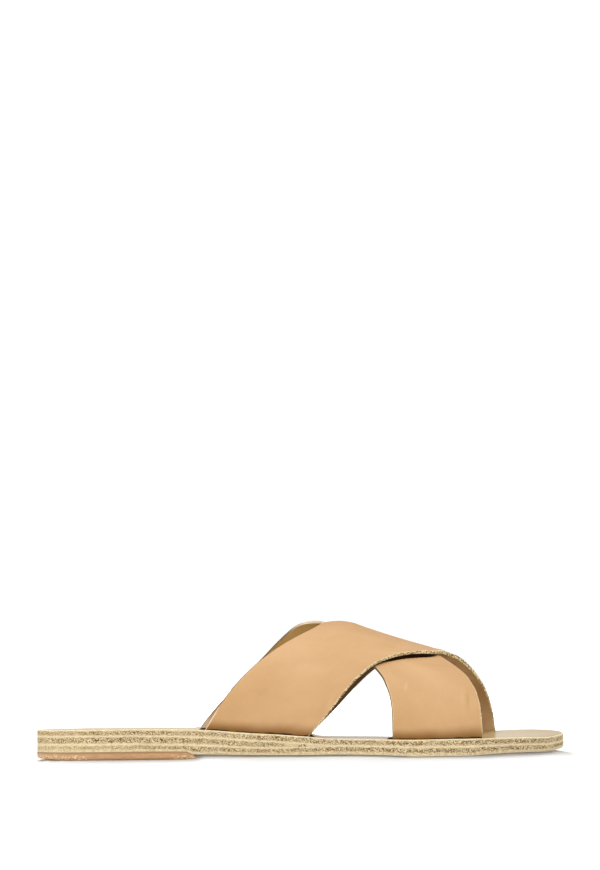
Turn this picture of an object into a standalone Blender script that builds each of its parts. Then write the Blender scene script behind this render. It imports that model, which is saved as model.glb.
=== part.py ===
"""Flat leather slide for the right foot, with two crossed straps.

The sole is a stack of leather layers cut to one outline. The straps come up through slits in the
insole, lie on one arched surface, the last, and are joined where they cross.
X runs from heel to toe, Y from the outer (lateral) to the inner (medial) side of the foot, and Z up
from the floor. Sizes are in millimetres here, and MM turns them into the scene's metres.
"""

import math
from collections import namedtuple

import bmesh
import bpy
import numpy as np

MM = 0.001

# Driving sizes
LENGTH = 250.0
HALF = LENGTH / 2.0
JOINT_GAP = 0.3
STRAP_THICKNESS = 2.0

# Plan of the sole: distance of each side from the long axis, before the ends are rounded
Plan = namedtuple("Plan", "x lateral medial")
PLAN = (
    Plan(-125.0, 28.3, 28.6),
    Plan(-100.0, 29.4, 29.6),
    Plan(-75.0, 29.8, 29.3),
    Plan(-50.0, 30.1, 28.3),
    Plan(-30.0, 31.1, 27.8),
    Plan(-10.0, 33.7, 29.0),
    Plan(10.0, 37.2, 32.2),
    Plan(28.0, 40.7, 36.5),
    Plan(45.0, 43.4, 40.6),
    Plan(60.0, 44.4, 43.2),
    Plan(75.0, 43.8, 44.3),
    Plan(90.0, 41.8, 44.2),
    Plan(108.0, 38.0, 43.0),
    Plan(125.0, 33.5, 41.0),
)
HEEL_ROUND = 33.0
HEEL_POWER = 2.15
LATERAL_TOE_ROUND = 62.0
MEDIAL_TOE_ROUND = 46.0
TOE_POWER = 2.1
TOE_TIP_Y = 9.0

# Side of the sole: height of the underside over the floor, and the thickness of each layer
Stack = namedtuple("Stack", "x underside outsole wedge insole")
STACK = (
    Stack(-125.0, 2.45, 4.9, 3.9, 3.1),
    Stack(-86.0, 2.45, 4.9, 3.9, 3.1),
    Stack(-49.0, 2.15, 4.3, 3.85, 3.5),
    Stack(-19.0, 1.5, 3.4, 3.1, 3.6),
    Stack(5.0, 1.3, 3.8, 1.1, 3.6),
    Stack(14.0, 1.4, 4.1, 0.0, 3.5),
    Stack(24.0, 1.3, 4.1, 0.0, 3.3),
    Stack(40.0, 0.8, 4.2, 0.0, 3.3),
    Stack(48.0, 0.35, 4.3, 0.0, 3.4),
    Stack(55.0, 0.0, 4.45, 0.0, 3.5),
    Stack(76.0, 0.0, 4.4, 0.0, 3.65),
    Stack(90.0, 0.6, 4.0, 0.0, 3.5),
    Stack(103.0, 1.05, 3.75, 0.0, 3.35),
    Stack(117.0, 1.05, 3.5, 0.0, 3.2),
    Stack(125.0, 1.1, 3.3, 0.0, 3.1),
)
WEDGE_FRONT = 8.5

# Heel lift: it sits in a shallow step of the outsole, and its front is raked
LIFT_FRONT = -49.3
LIFT_RAKE = 1.2
LIFT_STEP = 1.35
LIFT_STEP_RUN = 3.5
LIFT_STEP_AT = -50.6

# Toe: its inner side curls up more than its outer side
CURL_START = 60.0
CURL_RISE = 4.7
CURL_POWER = 1.2
CURL_FROM_Y = -15.0
CURL_WIDTH = 58.0

# Rounding of the layers' edges
INSOLE_ROUND = 0.7
LAYER_ROUND = 0.35
GROUND_ROUND = 0.8
LIFT_ROUND = 1.2

# The last: height of its crest over the floor, from the back of the straps to their front
Crest = namedtuple("Crest", "x height")
CREST = (
    Crest(-60.0, 66.5),
    Crest(0.0, 61.6),
    Crest(12.0, 60.1),
    Crest(19.0, 60.4),
    Crest(24.5, 59.6),
    Crest(30.0, 57.6),
    Crest(46.0, 52.2),
    Crest(70.0, 45.0),
    Crest(100.0, 36.0),
)
CREST_Y = 5.0
LATERAL_FULLNESS = 2.0
MEDIAL_FULLNESS = 2.2

# Straps: station of each edge over the arch, whose turn is 0 at the lateral foot and 1 at the medial foot
Edges = namedtuple("Edges", "turn over_rear over_front under_rear under_front")
EDGES = (
    Edges(0.0, -45.0, 4.1, 43.7, 85.8),
    Edges(0.1, -35.2, 17.1, 43.3, 85.3),
    Edges(0.2, -22.3, 28.8, 39.9, 83.7),
    Edges(0.3, -7.8, 43.5, 28.8, 79.1),
    Edges(0.4, 5.9, 62.0, 19.6, 69.8),
    Edges(0.5, 13.7, 70.5, 11.4, 60.5),
    Edges(0.6, 23.0, 78.2, -0.7, 52.0),
    Edges(0.7, 33.0, 84.3, -10.0, 43.0),
    Edges(0.8, 42.2, 89.0, -20.4, 33.1),
    Edges(0.9, 47.3, 91.5, -33.2, 21.3),
    Edges(1.0, 49.0, 92.9, -47.6, 5.2),
)
SLIT_INSET = 6.5
SLIT_SPARE = 2.2
CROSSING_BOND = 0.3
CROSSING_FALL = 14.0
FLARE_RISE = 2.0
FLARE_RUN = 9.0
FLARE_TURN = 0.56
FLARE_SPAN = 0.22

# Fineness of the meshes
LENGTH_STEPS = 52
SHORT_STEPS = 22
WIDTH_STEPS = 8
STRAP_STEPS = 34
STRAP_COLUMNS = 9
SLIT_STEPS = 12
SHARP_ANGLE = math.radians(30.0)

# Colours and finish
Finish = namedtuple("Finish", "colour roughness metallic")
STRAP_LEATHER = Finish((0.62, 0.36, 0.16, 1.0), 0.5, 0.0)
INSOLE_LEATHER = Finish((0.66, 0.54, 0.36, 1.0), 0.6, 0.0)
SOLE_LEATHER = Finish((0.62, 0.48, 0.28, 1.0), 0.65, 0.0)
LIFT_LEATHER = Finish((0.52, 0.30, 0.15, 1.0), 0.55, 0.0)


def smooth_step(value):
    """Ease from 0 to 1 while value goes from 0 to 1."""
    t = min(max(value, 0.0), 1.0)
    return t * t * (3.0 - 2.0 * t)


def table_curve(table, column):
    """Return a smooth function through one column of a table, which doesn't overshoot its rows."""
    xs = np.array([row[0] for row in table])
    ys = np.array([getattr(row, column) for row in table])
    steps = np.diff(xs)
    rises = np.diff(ys) / steps
    slopes = np.zeros(len(xs))
    slopes[0] = rises[0]
    slopes[-1] = rises[-1]
    for i in range(1, len(xs) - 1):
        if rises[i - 1] * rises[i] > 0.0:
            before = 2.0 * steps[i] + steps[i - 1]
            after = steps[i] + 2.0 * steps[i - 1]
            slopes[i] = (before + after) / (before / rises[i - 1] + after / rises[i])

    def curve(x):
        x = min(max(x, xs[0]), xs[-1])
        i = min(max(int(np.searchsorted(xs, x)) - 1, 0), len(xs) - 2)
        t = (x - xs[i]) / steps[i]
        start = ys[i] * (1.0 + 2.0 * t) * (1.0 - t) ** 2 + ys[i + 1] * t * t * (3.0 - 2.0 * t)
        bend = steps[i] * t * (1.0 - t) * (slopes[i] * (1.0 - t) - slopes[i + 1] * t)
        return float(start + bend)

    return curve


LATERAL = table_curve(PLAN, "lateral")
MEDIAL = table_curve(PLAN, "medial")
UNDERSIDE = table_curve(STACK, "underside")
OUTSOLE = table_curve(STACK, "outsole")
WEDGE = table_curve(STACK, "wedge")
INSOLE = table_curve(STACK, "insole")
CREST_HEIGHT = table_curve(CREST, "height")
EDGE = {column: table_curve(EDGES, column) for column in Edges._fields[1:]}


# Plan of the sole

def end_round(distance, run, power):
    """Return how much of its width the plan keeps at a distance from where an end's rounding starts."""
    t = min(max(distance / run, 0.0), 1.0)
    return (1.0 - t ** power) ** (1.0 / power)


def rim_y(x, side):
    """Return the Y of the sole's rim at station x, on side -1 (lateral) or 1 (medial)."""
    if side < 0:
        width, toe_round = -LATERAL(x), LATERAL_TOE_ROUND
    else:
        width, toe_round = MEDIAL(x), MEDIAL_TOE_ROUND
    width *= end_round(HEEL_ROUND - HALF - x, HEEL_ROUND, HEEL_POWER)
    kept = end_round(x - (HALF - toe_round), toe_round, TOE_POWER)
    return TOE_TIP_Y * (1.0 - kept) + width * kept


# Levels of the sole

def curl(x, y):
    """Return how far the toe's inner side rises at a place."""
    along = max((x - CURL_START) / (HALF - CURL_START), 0.0) ** CURL_POWER
    across = min(max((y - CURL_FROM_Y) / CURL_WIDTH, 0.0), 1.0)
    return CURL_RISE * along * across


def outsole_under(x, y):
    """Height of the outsole's underside."""
    step = LIFT_STEP * smooth_step((LIFT_STEP_AT - x) / LIFT_STEP_RUN)
    return UNDERSIDE(x) + step + curl(x, y)


def outsole_joint(x, y):
    """Height of the joint over the outsole."""
    return UNDERSIDE(x) + OUTSOLE(x) + curl(x, y)


def insole_joint(x, y):
    """Height of the joint under the insole."""
    return outsole_joint(x, y) + WEDGE(x)


def insole_top(x, y):
    """Height of the footbed."""
    return insole_joint(x, y) + INSOLE(x)


def raised(level, by):
    """Return a level function moved up by a constant."""
    return lambda x, y: level(x, y) + by


# The last, on which the straps lie

def last_point(x, turn):
    """Return the place on the last at station x and at a turn over the arch."""
    side = -1 if turn <= 0.5 else 1
    fullness = LATERAL_FULLNESS if side < 0 else MEDIAL_FULLNESS
    foot_y = rim_y(x, side) - side * SLIT_INSET
    foot_z = insole_top(x, foot_y)
    reach = abs(math.cos(math.pi * turn)) ** (2.0 / fullness)
    rise = max(math.sin(math.pi * turn), 0.0) ** (2.0 / fullness)
    y = CREST_Y + (foot_y - CREST_Y) * reach
    z = foot_z + (CREST_HEIGHT(x) - foot_z) * rise
    return np.array((x, y, z))


def last_normal(x, turn):
    """Return the outward normal of the last."""
    along = last_point(x + 0.5, turn) - last_point(x - 0.5, turn)
    over = last_point(x, min(turn + 0.004, 1.0)) - last_point(x, max(turn - 0.004, 0.0))
    normal = np.cross(along, over)
    return normal / np.linalg.norm(normal)


def over_strap_raise(x, turn):
    """Return how far the over strap stands off the last, on the under strap where they cross."""
    behind = smooth_step((x - EDGE["under_rear"](turn)) / CROSSING_FALL + 1.0)
    before = smooth_step((EDGE["under_front"](turn) - x) / CROSSING_FALL + 1.0)
    return (STRAP_THICKNESS - CROSSING_BOND) * behind * before


def under_strap_raise(x, turn):
    """Return how far the under strap stands off the last, its rear edge sprung up at the crossing."""
    near_edge = smooth_step(1.0 - (x - EDGE["under_rear"](turn)) / FLARE_RUN)
    near_top = smooth_step(1.0 - abs(turn - FLARE_TURN) / FLARE_SPAN)
    return FLARE_RISE * near_edge * near_top


# Meshes

def slab(name, rows, columns, levels, place):
    """Make a closed slab from a grid extruded level by level, with every vertex put in its place.

    place(row, column, level) gives the vertex's position in millimetres.
    """
    bm = bmesh.new()
    bmesh.ops.create_grid(bm, x_segments=rows - 1, y_segments=columns - 1, size=1.0)
    top = bm.verts[:] + bm.edges[:] + bm.faces[:]
    for _ in range(levels - 1):
        top = bmesh.ops.extrude_face_region(bm, geom=top)["geom"]
        top_verts = [item for item in top if isinstance(item, bmesh.types.BMVert)]
        bmesh.ops.translate(bm, verts=top_verts, vec=(0.0, 0.0, 1.0))
    bmesh.ops.recalc_face_normals(bm, faces=bm.faces)
    for vert in bm.verts:
        row = round((vert.co.x + 1.0) / 2.0 * (rows - 1))
        column = round((vert.co.y + 1.0) / 2.0 * (columns - 1))
        vert.co = np.array(place(row, column, round(vert.co.z))) * MM
    if bm.calc_volume(signed=True) < 0.0:
        bmesh.ops.reverse_faces(bm, faces=bm.faces)
    mesh = bpy.data.meshes.new(name)
    bm.to_mesh(mesh)
    bm.free()
    mesh.shade_smooth()
    mesh.set_sharp_from_angle(angle=SHARP_ANGLE)
    obj = bpy.data.objects.new(name, mesh)
    bpy.context.collection.objects.link(obj)
    return obj


def heel_to_toe(steps):
    """Return stations from heel to toe, closer together toward both ends."""
    return [-HALF * math.cos(math.pi * (i + 0.5) / (steps + 1)) for i in range(steps + 1)]


def heel_to(front, steps):
    """Return stations from the heel to a front end, closer together toward the heel."""
    run = front + HALF
    return [front - run * math.cos(math.pi / 2.0 * (i + 0.5) / (steps + 0.5)) for i in range(steps + 1)]


def layer_plan(stations, edge_round):
    """Return the plan of a layer as rows of points, drawn in from the rim by edge_round."""
    sides = [[np.array((x, rim_y(x, side))) for x in stations] for side in (-1, 1)]
    shares = np.linspace(0.0, 1.0, WIDTH_STEPS + 1)
    rows = [[start + (end - start) * share for share in shares] for start, end in zip(*sides)]
    grid = np.array(rows)
    ring = [(i, 0) for i in range(len(stations))]
    ring += [(len(stations) - 1, j) for j in range(1, WIDTH_STEPS)]
    ring += [(i, WIDTH_STEPS) for i in reversed(range(len(stations)))]
    ring += [(0, j) for j in range(WIDTH_STEPS - 1, 0, -1)]
    points = np.array([grid[place] for place in ring])
    along = np.roll(points, -1, axis=0) - np.roll(points, 1, axis=0)
    along /= np.linalg.norm(along, axis=1, keepdims=True)
    inward = np.stack((-along[:, 1], along[:, 0]), axis=1)
    for place, point in zip(ring, points + inward * edge_round):
        grid[place] = point
    for row in grid:
        row[:] = row[0] + (row[-1] - row[0]) * shares[:, None]
    return grid


def sole_layer(name, stations, under, top, under_round, top_round, top_stations=None):
    """Make one layer of the sole between two level functions, with rounded edges."""
    upper_stations = top_stations or stations
    plans = (
        layer_plan(stations, under_round),
        layer_plan(stations, 0.0),
        layer_plan(upper_stations, 0.0),
        layer_plan(upper_stations, top_round),
    )
    levels = (under, raised(under, under_round), raised(top, -top_round), top)

    def place(row, column, level):
        x, y = plans[level][row][column]
        return x, y, levels[level](x, y)

    return slab(name, len(stations), WIDTH_STEPS + 1, len(plans), place)


def strap(name, rear, front, strap_raise):
    """Make one strap: a band of the last's surface between two edges, with its feet down in the slits."""
    turns = [0.0] + [i / STRAP_STEPS for i in range(STRAP_STEPS + 1)] + [1.0]
    feet = (0, len(turns) - 1)

    def place(row, column, level):
        turn = turns[row]
        share = column / (STRAP_COLUMNS - 1)
        x = EDGE[rear](turn) * (1.0 - share) + EDGE[front](turn) * share
        stand_off = strap_raise(x, turn) + level * STRAP_THICKNESS
        point = last_point(x, turn) + last_normal(x, turn) * stand_off
        if row in feet:
            point[2] = insole_joint(point[0], point[1]) + JOINT_GAP / 2.0
        return point

    return slab(name, len(turns), STRAP_COLUMNS, 2, place)


def slit_cutter(name, rear, front, turn):
    """Make the cutter of one slit in the insole, round the foot of a strap."""
    start = EDGE[rear](turn) - SLIT_SPARE
    end = EDGE[front](turn) + SLIT_SPARE

    def place(row, column, level):
        x = start + (end - start) * row / SLIT_STEPS
        stand_off = -JOINT_GAP + level * (STRAP_THICKNESS + 2.0 * JOINT_GAP)
        point = last_point(x, turn) + last_normal(x, turn) * stand_off
        point[2] += 3.0 if column else -INSOLE(x) - 3.0
        return point

    cutter = slab(name, SLIT_STEPS + 1, 2, 2, place)
    cutter.hide_render = True
    cutter.display_type = "WIRE"
    return cutter


def combine(obj, tool, operation):
    """Add a Boolean modifier that joins a tool to an object or cuts it out."""
    modifier = obj.modifiers.new(tool.name, "BOOLEAN")
    modifier.operation = operation
    modifier.solver = "EXACT"
    modifier.object = tool


def finish(obj, look):
    """Give an object its own material."""
    material = bpy.data.materials.new(obj.name)
    material.use_nodes = True
    shader = material.node_tree.nodes["Principled BSDF"]
    shader.inputs["Base Color"].default_value = look.colour
    shader.inputs["Roughness"].default_value = look.roughness
    shader.inputs["Metallic"].default_value = look.metallic
    obj.data.materials.append(material)


# Pieces

def make_heel_lift():
    """Low heel under the outsole."""
    top = raised(outsole_under, -JOINT_GAP)
    lift = sole_layer(
        "heel_lift",
        heel_to(LIFT_FRONT, SHORT_STEPS),
        lambda x, y: 0.0,
        top,
        LIFT_ROUND,
        LAYER_ROUND,
        heel_to(LIFT_FRONT - LIFT_RAKE, SHORT_STEPS),
    )
    finish(lift, LIFT_LEATHER)


def make_outsole():
    """Full-length ground layer."""
    top = raised(outsole_joint, -JOINT_GAP / 2.0)
    outsole = sole_layer("outsole", heel_to_toe(LENGTH_STEPS), outsole_under, top, GROUND_ROUND, LAYER_ROUND)
    finish(outsole, SOLE_LEATHER)


def make_heel_wedge():
    """Middle layer, from the heel to the waist."""
    under = raised(outsole_joint, JOINT_GAP / 2.0)
    top = raised(insole_joint, -JOINT_GAP / 2.0)
    stations = heel_to(WEDGE_FRONT, SHORT_STEPS)
    wedge = sole_layer("heel_wedge", stations, under, top, LAYER_ROUND / 2.0, LAYER_ROUND / 2.0)
    finish(wedge, SOLE_LEATHER)


def make_insole():
    """Full-length footbed, with a slit for each foot of a strap."""
    under = raised(insole_joint, JOINT_GAP / 2.0)
    insole = sole_layer("insole", heel_to_toe(LENGTH_STEPS), under, insole_top, LAYER_ROUND, INSOLE_ROUND)
    for band in ("over", "under"):
        for side, turn in (("lateral", 0.0), ("medial", 1.0)):
            cutter = slit_cutter(f"{band}_{side}_slit", f"{band}_rear", f"{band}_front", turn)
            combine(insole, cutter, "DIFFERENCE")
    finish(insole, INSOLE_LEATHER)


def make_upper():
    """Both straps, joined where they cross."""
    upper = strap("upper", "under_rear", "under_front", under_strap_raise)
    over = strap("over_strap", "over_rear", "over_front", over_strap_raise)
    over.hide_render = True
    over.display_type = "WIRE"
    combine(upper, over, "UNION")
    finish(upper, STRAP_LEATHER)


def main():
    """Clear the scene and make every piece."""
    for obj in list(bpy.data.objects):
        bpy.data.objects.remove(obj)
    make_heel_lift()
    make_outsole()
    make_heel_wedge()
    make_insole()
    make_upper()


main()
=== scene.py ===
"""Looks of the crossed-strap leather slide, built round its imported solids.

Every piece stands where its CAD node is. Shapes are worked out in millimetres from the same tables
as the part's source, and MM turns them into the scene's metres. X runs from heel to toe, Y from the
outer (lateral) to the inner (medial) side of the foot, and Z up from the floor.
"""

import itertools
import logging
import math
from collections.abc import Callable
from dataclasses import dataclass
from enum import Enum
from functools import cached_property
from typing import NamedTuple

import bmesh
import bpy
import numpy as np
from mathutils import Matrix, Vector, noise

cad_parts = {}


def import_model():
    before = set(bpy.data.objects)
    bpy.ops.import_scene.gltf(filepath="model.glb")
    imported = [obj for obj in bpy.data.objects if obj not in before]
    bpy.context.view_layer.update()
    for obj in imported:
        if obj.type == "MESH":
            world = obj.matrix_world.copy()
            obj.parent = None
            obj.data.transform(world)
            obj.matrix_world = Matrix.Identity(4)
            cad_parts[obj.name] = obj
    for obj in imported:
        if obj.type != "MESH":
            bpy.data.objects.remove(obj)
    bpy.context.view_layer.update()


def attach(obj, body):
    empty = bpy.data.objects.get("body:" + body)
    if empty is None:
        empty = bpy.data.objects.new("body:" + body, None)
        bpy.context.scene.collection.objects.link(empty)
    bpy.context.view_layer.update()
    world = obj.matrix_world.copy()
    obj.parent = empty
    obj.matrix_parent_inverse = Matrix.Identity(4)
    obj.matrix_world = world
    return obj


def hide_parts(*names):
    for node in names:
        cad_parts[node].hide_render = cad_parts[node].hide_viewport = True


MM = 0.001
LOG = logging.getLogger("sandal")

# Least length, in millimetres, that anything is divided by
TINY = 1e-6

Array = np.ndarray
Colour = tuple[float, float, float]
Waves = tuple[float, float, float]
Range = tuple[float, float]
Level = Callable[[Array, Array], Array]
Socket = bpy.types.NodeSocket
Inputs = dict[str | int, object]
Material = bpy.types.Material


class Side(Enum):
    """Side of the foot, with the sign of its Y."""

    LATERAL = -1
    MEDIAL = 1

    @property
    def turn(self) -> float:
        """Turn of the straps' feet on this side."""
        return 0.0 if self is Side.LATERAL else 1.0


class Band(Enum):
    """The two straps, with the first word of their columns in the edge table."""

    OVER = "over"
    UNDER = "under"


class Seed(Enum):
    """Shift of each noise, which sets it apart from the others."""

    OVER_HIDE = 2.0
    WALL_FIBRES = 3.0
    REAR_EDGE = 5.0
    UNDER_HIDE = 8.0
    WALL_TRIM = 11.0
    FRONT_EDGE = 17.0


class Face(Enum):
    """Kinds of face on a slab of leather."""

    UPPER = 0
    CUT = 1
    LOWER = 2
    SLIT = 3
    REAR_CUT = 4


Dressing = dict[Face, Material]


class PlanRow(NamedTuple):
    """Distance of each side of the sole from its long axis, before the ends are rounded."""

    x: float
    lateral: float
    medial: float


class StackRow(NamedTuple):
    """Height of the sole's underside over the floor, and the thickness of each layer."""

    x: float
    underside: float
    outsole: float
    wedge: float
    insole: float


class CrestRow(NamedTuple):
    """Height of the last's crest over the floor."""

    x: float
    crest: float


class EdgeRow(NamedTuple):
    """Station of each strap edge, at a turn from 0 at the lateral foot to 1 at the medial foot."""

    turn: float
    over_rear: float
    over_front: float
    under_rear: float
    under_front: float


class FloorRow(NamedTuple):
    """Fall of the paper floor before the shoe, for each millimetre, at a station."""

    x: float
    slope: float


class LipRow(NamedTuple):
    """Height by which the over strap's front edge stands up, at a turn."""

    turn: float
    rise: float


class WallRow(NamedTuple):
    """Share of a strap's thickness, and of its edge's rounding by which the edge is drawn in there."""

    depth: float
    inset: float


class Crease(NamedTuple):
    """A soft hollow or raised fold on a strap: its middle, its half length and width, its lean and height.
    """

    band: Band
    x: float
    turn: float
    reach: float
    width: float
    lean_deg: float
    height: float


def smooth_step(value: Array) -> Array:
    """Ease from 0 to 1 while value goes from 0 to 1."""
    t = np.clip(value, 0.0, 1.0)
    return t * t * (3.0 - 2.0 * t)


def end_round(distance: Array, run: Array, power: float) -> Array:
    """Share of its width that the plan keeps past the start of an end's rounding.

    Args:
        distance: How far past that start, in millimetres.
        run: Length of the rounding.
        power: Its fullness, 2 for an ellipse.

    Returns:
        Shares from 1 down to 0.
    """
    t = np.clip(distance / run, 0.0, 1.0)
    return (1.0 - t**power) ** (1.0 / power)


def fuzz(points: Array, waves: Waves, seed: Seed) -> Array:
    """Smooth noise from -1 to 1 at each point.

    Args:
        points: Places, the last axis holding three coordinates.
        waves: Waves per millimetre along each coordinate.
        seed: Which noise it is.

    Returns:
        One value for each point.
    """
    flat = points.reshape(-1, 3) * np.array(waves) + seed.value
    values = np.array([noise.noise(Vector(place)) for place in flat])
    return values.reshape(points.shape[:-1])


class Curve:
    """Smooth curve through one column of a table, which doesn't overshoot its rows."""

    def __init__(self, table: tuple[tuple, ...], column: str) -> None:
        """Keep the rows and work out a slope at each.

        Args:
            table: Rows, whose first column is the station.
            column: Name of the column.
        """
        self.x = np.array([row[0] for row in table])
        self.y = np.array([getattr(row, column) for row in table])
        self.steps = np.diff(self.x)
        rises = np.diff(self.y) / self.steps
        before = 2.0 * self.steps[1:] + self.steps[:-1]
        after = self.steps[1:] + 2.0 * self.steps[:-1]
        turning = rises[:-1] * rises[1:] <= 0.0
        safe = np.where(turning, 1.0, rises[:-1]), np.where(turning, 1.0, rises[1:])
        middle = np.where(turning, 0.0, (before + after) / (before / safe[0] + after / safe[1]))
        self.slopes = np.concatenate((rises[:1], middle, rises[-1:]))

    def __call__(self, x: Array) -> Array:
        """Read the curve.

        Args:
            x: Stations.

        Returns:
            The column's value at each station.
        """
        x = np.clip(x, self.x[0], self.x[-1])
        i = np.clip(np.searchsorted(self.x, x) - 1, 0, len(self.x) - 2)
        t = (x - self.x[i]) / self.steps[i]
        start = self.y[i] * (1.0 + 2.0 * t) * (1.0 - t) ** 2 + self.y[i + 1] * t * t * (3.0 - 2.0 * t)
        return start + self.steps[i] * t * (1.0 - t) * (self.slopes[i] * (1.0 - t) - self.slopes[i + 1] * t)


@dataclass(frozen=True)
class Last:
    """Plan, levels and arch that the sole and the straps follow."""

    half: float = 125.0
    heel_round: float = 33.0
    heel_power: float = 2.15
    lateral_toe_round: float = 62.0
    medial_toe_round: float = 46.0
    toe_power: float = 2.1
    toe_tip_y: float = 9.0
    lift_step: float = 1.35
    lift_step_run: float = 3.5
    lift_step_at: float = -50.6
    curl_start: float = 60.0
    curl_rise: float = 4.7
    curl_power: float = 1.2
    curl_from_y: float = -15.0
    curl_width: float = 58.0
    crest_y: float = 5.0
    lateral_fullness: float = 2.0
    medial_fullness: float = 2.2
    slit_inset: float = 6.5
    probe_x: float = 0.5
    probe_turn: float = 0.004
    plan: tuple[PlanRow, ...] = (
        PlanRow(-125.0, 28.3, 28.6),
        PlanRow(-100.0, 29.4, 29.6),
        PlanRow(-75.0, 29.8, 29.3),
        PlanRow(-50.0, 30.1, 28.3),
        PlanRow(-30.0, 31.1, 27.8),
        PlanRow(-10.0, 33.7, 29.0),
        PlanRow(10.0, 37.2, 32.2),
        PlanRow(28.0, 40.7, 36.5),
        PlanRow(45.0, 43.4, 40.6),
        PlanRow(60.0, 44.4, 43.2),
        PlanRow(75.0, 43.8, 44.3),
        PlanRow(90.0, 41.8, 44.2),
        PlanRow(108.0, 38.0, 43.0),
        PlanRow(125.0, 33.5, 41.0),
    )
    stack: tuple[StackRow, ...] = (
        StackRow(-125.0, 2.45, 4.9, 3.9, 3.1),
        StackRow(-86.0, 2.45, 4.9, 3.9, 3.1),
        StackRow(-49.0, 2.15, 4.3, 3.85, 3.5),
        StackRow(-19.0, 1.5, 3.4, 3.1, 3.6),
        StackRow(5.0, 1.3, 3.8, 1.1, 3.6),
        StackRow(14.0, 1.4, 4.1, 0.0, 3.5),
        StackRow(24.0, 1.3, 4.1, 0.0, 3.3),
        StackRow(40.0, 0.8, 4.2, 0.0, 3.3),
        StackRow(48.0, 0.35, 4.3, 0.0, 3.4),
        StackRow(55.0, 0.0, 4.45, 0.0, 3.5),
        StackRow(76.0, 0.0, 4.4, 0.0, 3.65),
        StackRow(90.0, 0.6, 4.0, 0.0, 3.5),
        StackRow(103.0, 1.05, 3.75, 0.0, 3.35),
        StackRow(117.0, 1.05, 3.5, 0.0, 3.2),
        StackRow(125.0, 1.1, 3.3, 0.0, 3.1),
    )
    crest: tuple[CrestRow, ...] = (
        CrestRow(-60.0, 66.5),
        CrestRow(0.0, 61.6),
        CrestRow(12.0, 60.1),
        CrestRow(19.0, 60.4),
        CrestRow(24.5, 59.6),
        CrestRow(30.0, 57.6),
        CrestRow(46.0, 52.2),
        CrestRow(70.0, 45.0),
        CrestRow(100.0, 36.0),
    )
    edges: tuple[EdgeRow, ...] = (
        EdgeRow(0.0, -45.0, 4.1, 43.7, 85.8),
        EdgeRow(0.1, -35.2, 17.1, 43.3, 85.3),
        EdgeRow(0.2, -22.3, 28.8, 39.9, 83.7),
        EdgeRow(0.3, -7.8, 43.5, 28.8, 79.1),
        EdgeRow(0.4, 5.9, 62.0, 19.6, 69.8),
        EdgeRow(0.5, 13.7, 70.5, 11.4, 60.5),
        EdgeRow(0.6, 23.0, 78.2, -0.7, 52.0),
        EdgeRow(0.7, 33.0, 84.3, -10.0, 43.0),
        EdgeRow(0.8, 42.2, 89.0, -20.4, 33.1),
        EdgeRow(0.9, 47.3, 91.5, -33.2, 21.3),
        EdgeRow(1.0, 49.0, 92.9, -47.6, 5.2),
    )

    @cached_property
    def curves(self) -> dict[str, Curve]:
        """Curve of every table column, by the column's name."""
        tables = (self.plan, self.stack, self.crest, self.edges)
        return {name: Curve(table, name) for table in tables for name in table[0]._fields[1:]}

    def at(self, column: str, x: Array) -> Array:
        """Return a table column's values at stations x, or at turns for a strap edge."""
        return self.curves[column](x)

    def rim_y(self, x: Array, side: Array) -> Array:
        """Find the sole's rim.

        Args:
            x: Stations.
            side: Side at each station, -1 (lateral) or 1 (medial).

        Returns:
            The rim's Y at each station.
        """
        width = np.where(side < 0, -self.at("lateral", x), self.at("medial", x))
        width = width * end_round(self.heel_round - self.half - x, self.heel_round, self.heel_power)
        toe_round = np.where(side < 0, self.lateral_toe_round, self.medial_toe_round)
        kept = end_round(x - self.half + toe_round, toe_round, self.toe_power)
        return self.toe_tip_y * (1.0 - kept) + width * kept

    def curl(self, x: Array, y: Array) -> Array:
        """Find how far the toe's inner side rises.

        Args:
            x: Stations.
            y: Places across the sole.

        Returns:
            The rise at each place.
        """
        along = np.clip((x - self.curl_start) / (self.half - self.curl_start), 0.0, 1.0) ** self.curl_power
        across = np.clip((y - self.curl_from_y) / self.curl_width, 0.0, 1.0)
        return self.curl_rise * along * across

    def outsole_under(self, x: Array, y: Array) -> Array:
        """Height of the outsole's underside, with its step over the heel lift."""
        step = self.lift_step * smooth_step((self.lift_step_at - x) / self.lift_step_run)
        return self.at("underside", x) + step + self.curl(x, y)

    def outsole_joint(self, x: Array, y: Array) -> Array:
        """Height of the joint over the outsole."""
        return self.at("underside", x) + self.at("outsole", x) + self.curl(x, y)

    def insole_joint(self, x: Array, y: Array) -> Array:
        """Height of the joint under the insole."""
        return self.outsole_joint(x, y) + self.at("wedge", x)

    def insole_top(self, x: Array, y: Array) -> Array:
        """Height of the footbed."""
        return self.insole_joint(x, y) + self.at("insole", x)

    def point(self, x: Array, turn: Array) -> Array:
        """Find places on the arch.

        Args:
            x: Stations.
            turn: Turns from 0 at the lateral foot to 1 at the medial foot.

        Returns:
            The places, with a last axis of three.
        """
        side = np.where(turn <= 0.5, -1.0, 1.0)
        power = 2.0 / np.where(side < 0, self.lateral_fullness, self.medial_fullness)
        foot_y = self.rim_y(x, side) - side * self.slit_inset
        foot_z = self.insole_top(x, foot_y)
        reach = np.abs(np.cos(math.pi * turn)) ** power
        rise = np.clip(np.sin(math.pi * turn), 0.0, 1.0) ** power
        y = self.crest_y + (foot_y - self.crest_y) * reach
        z = foot_z + (self.at("crest", x) - foot_z) * rise
        return np.stack((x, y, z), axis=-1)

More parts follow.
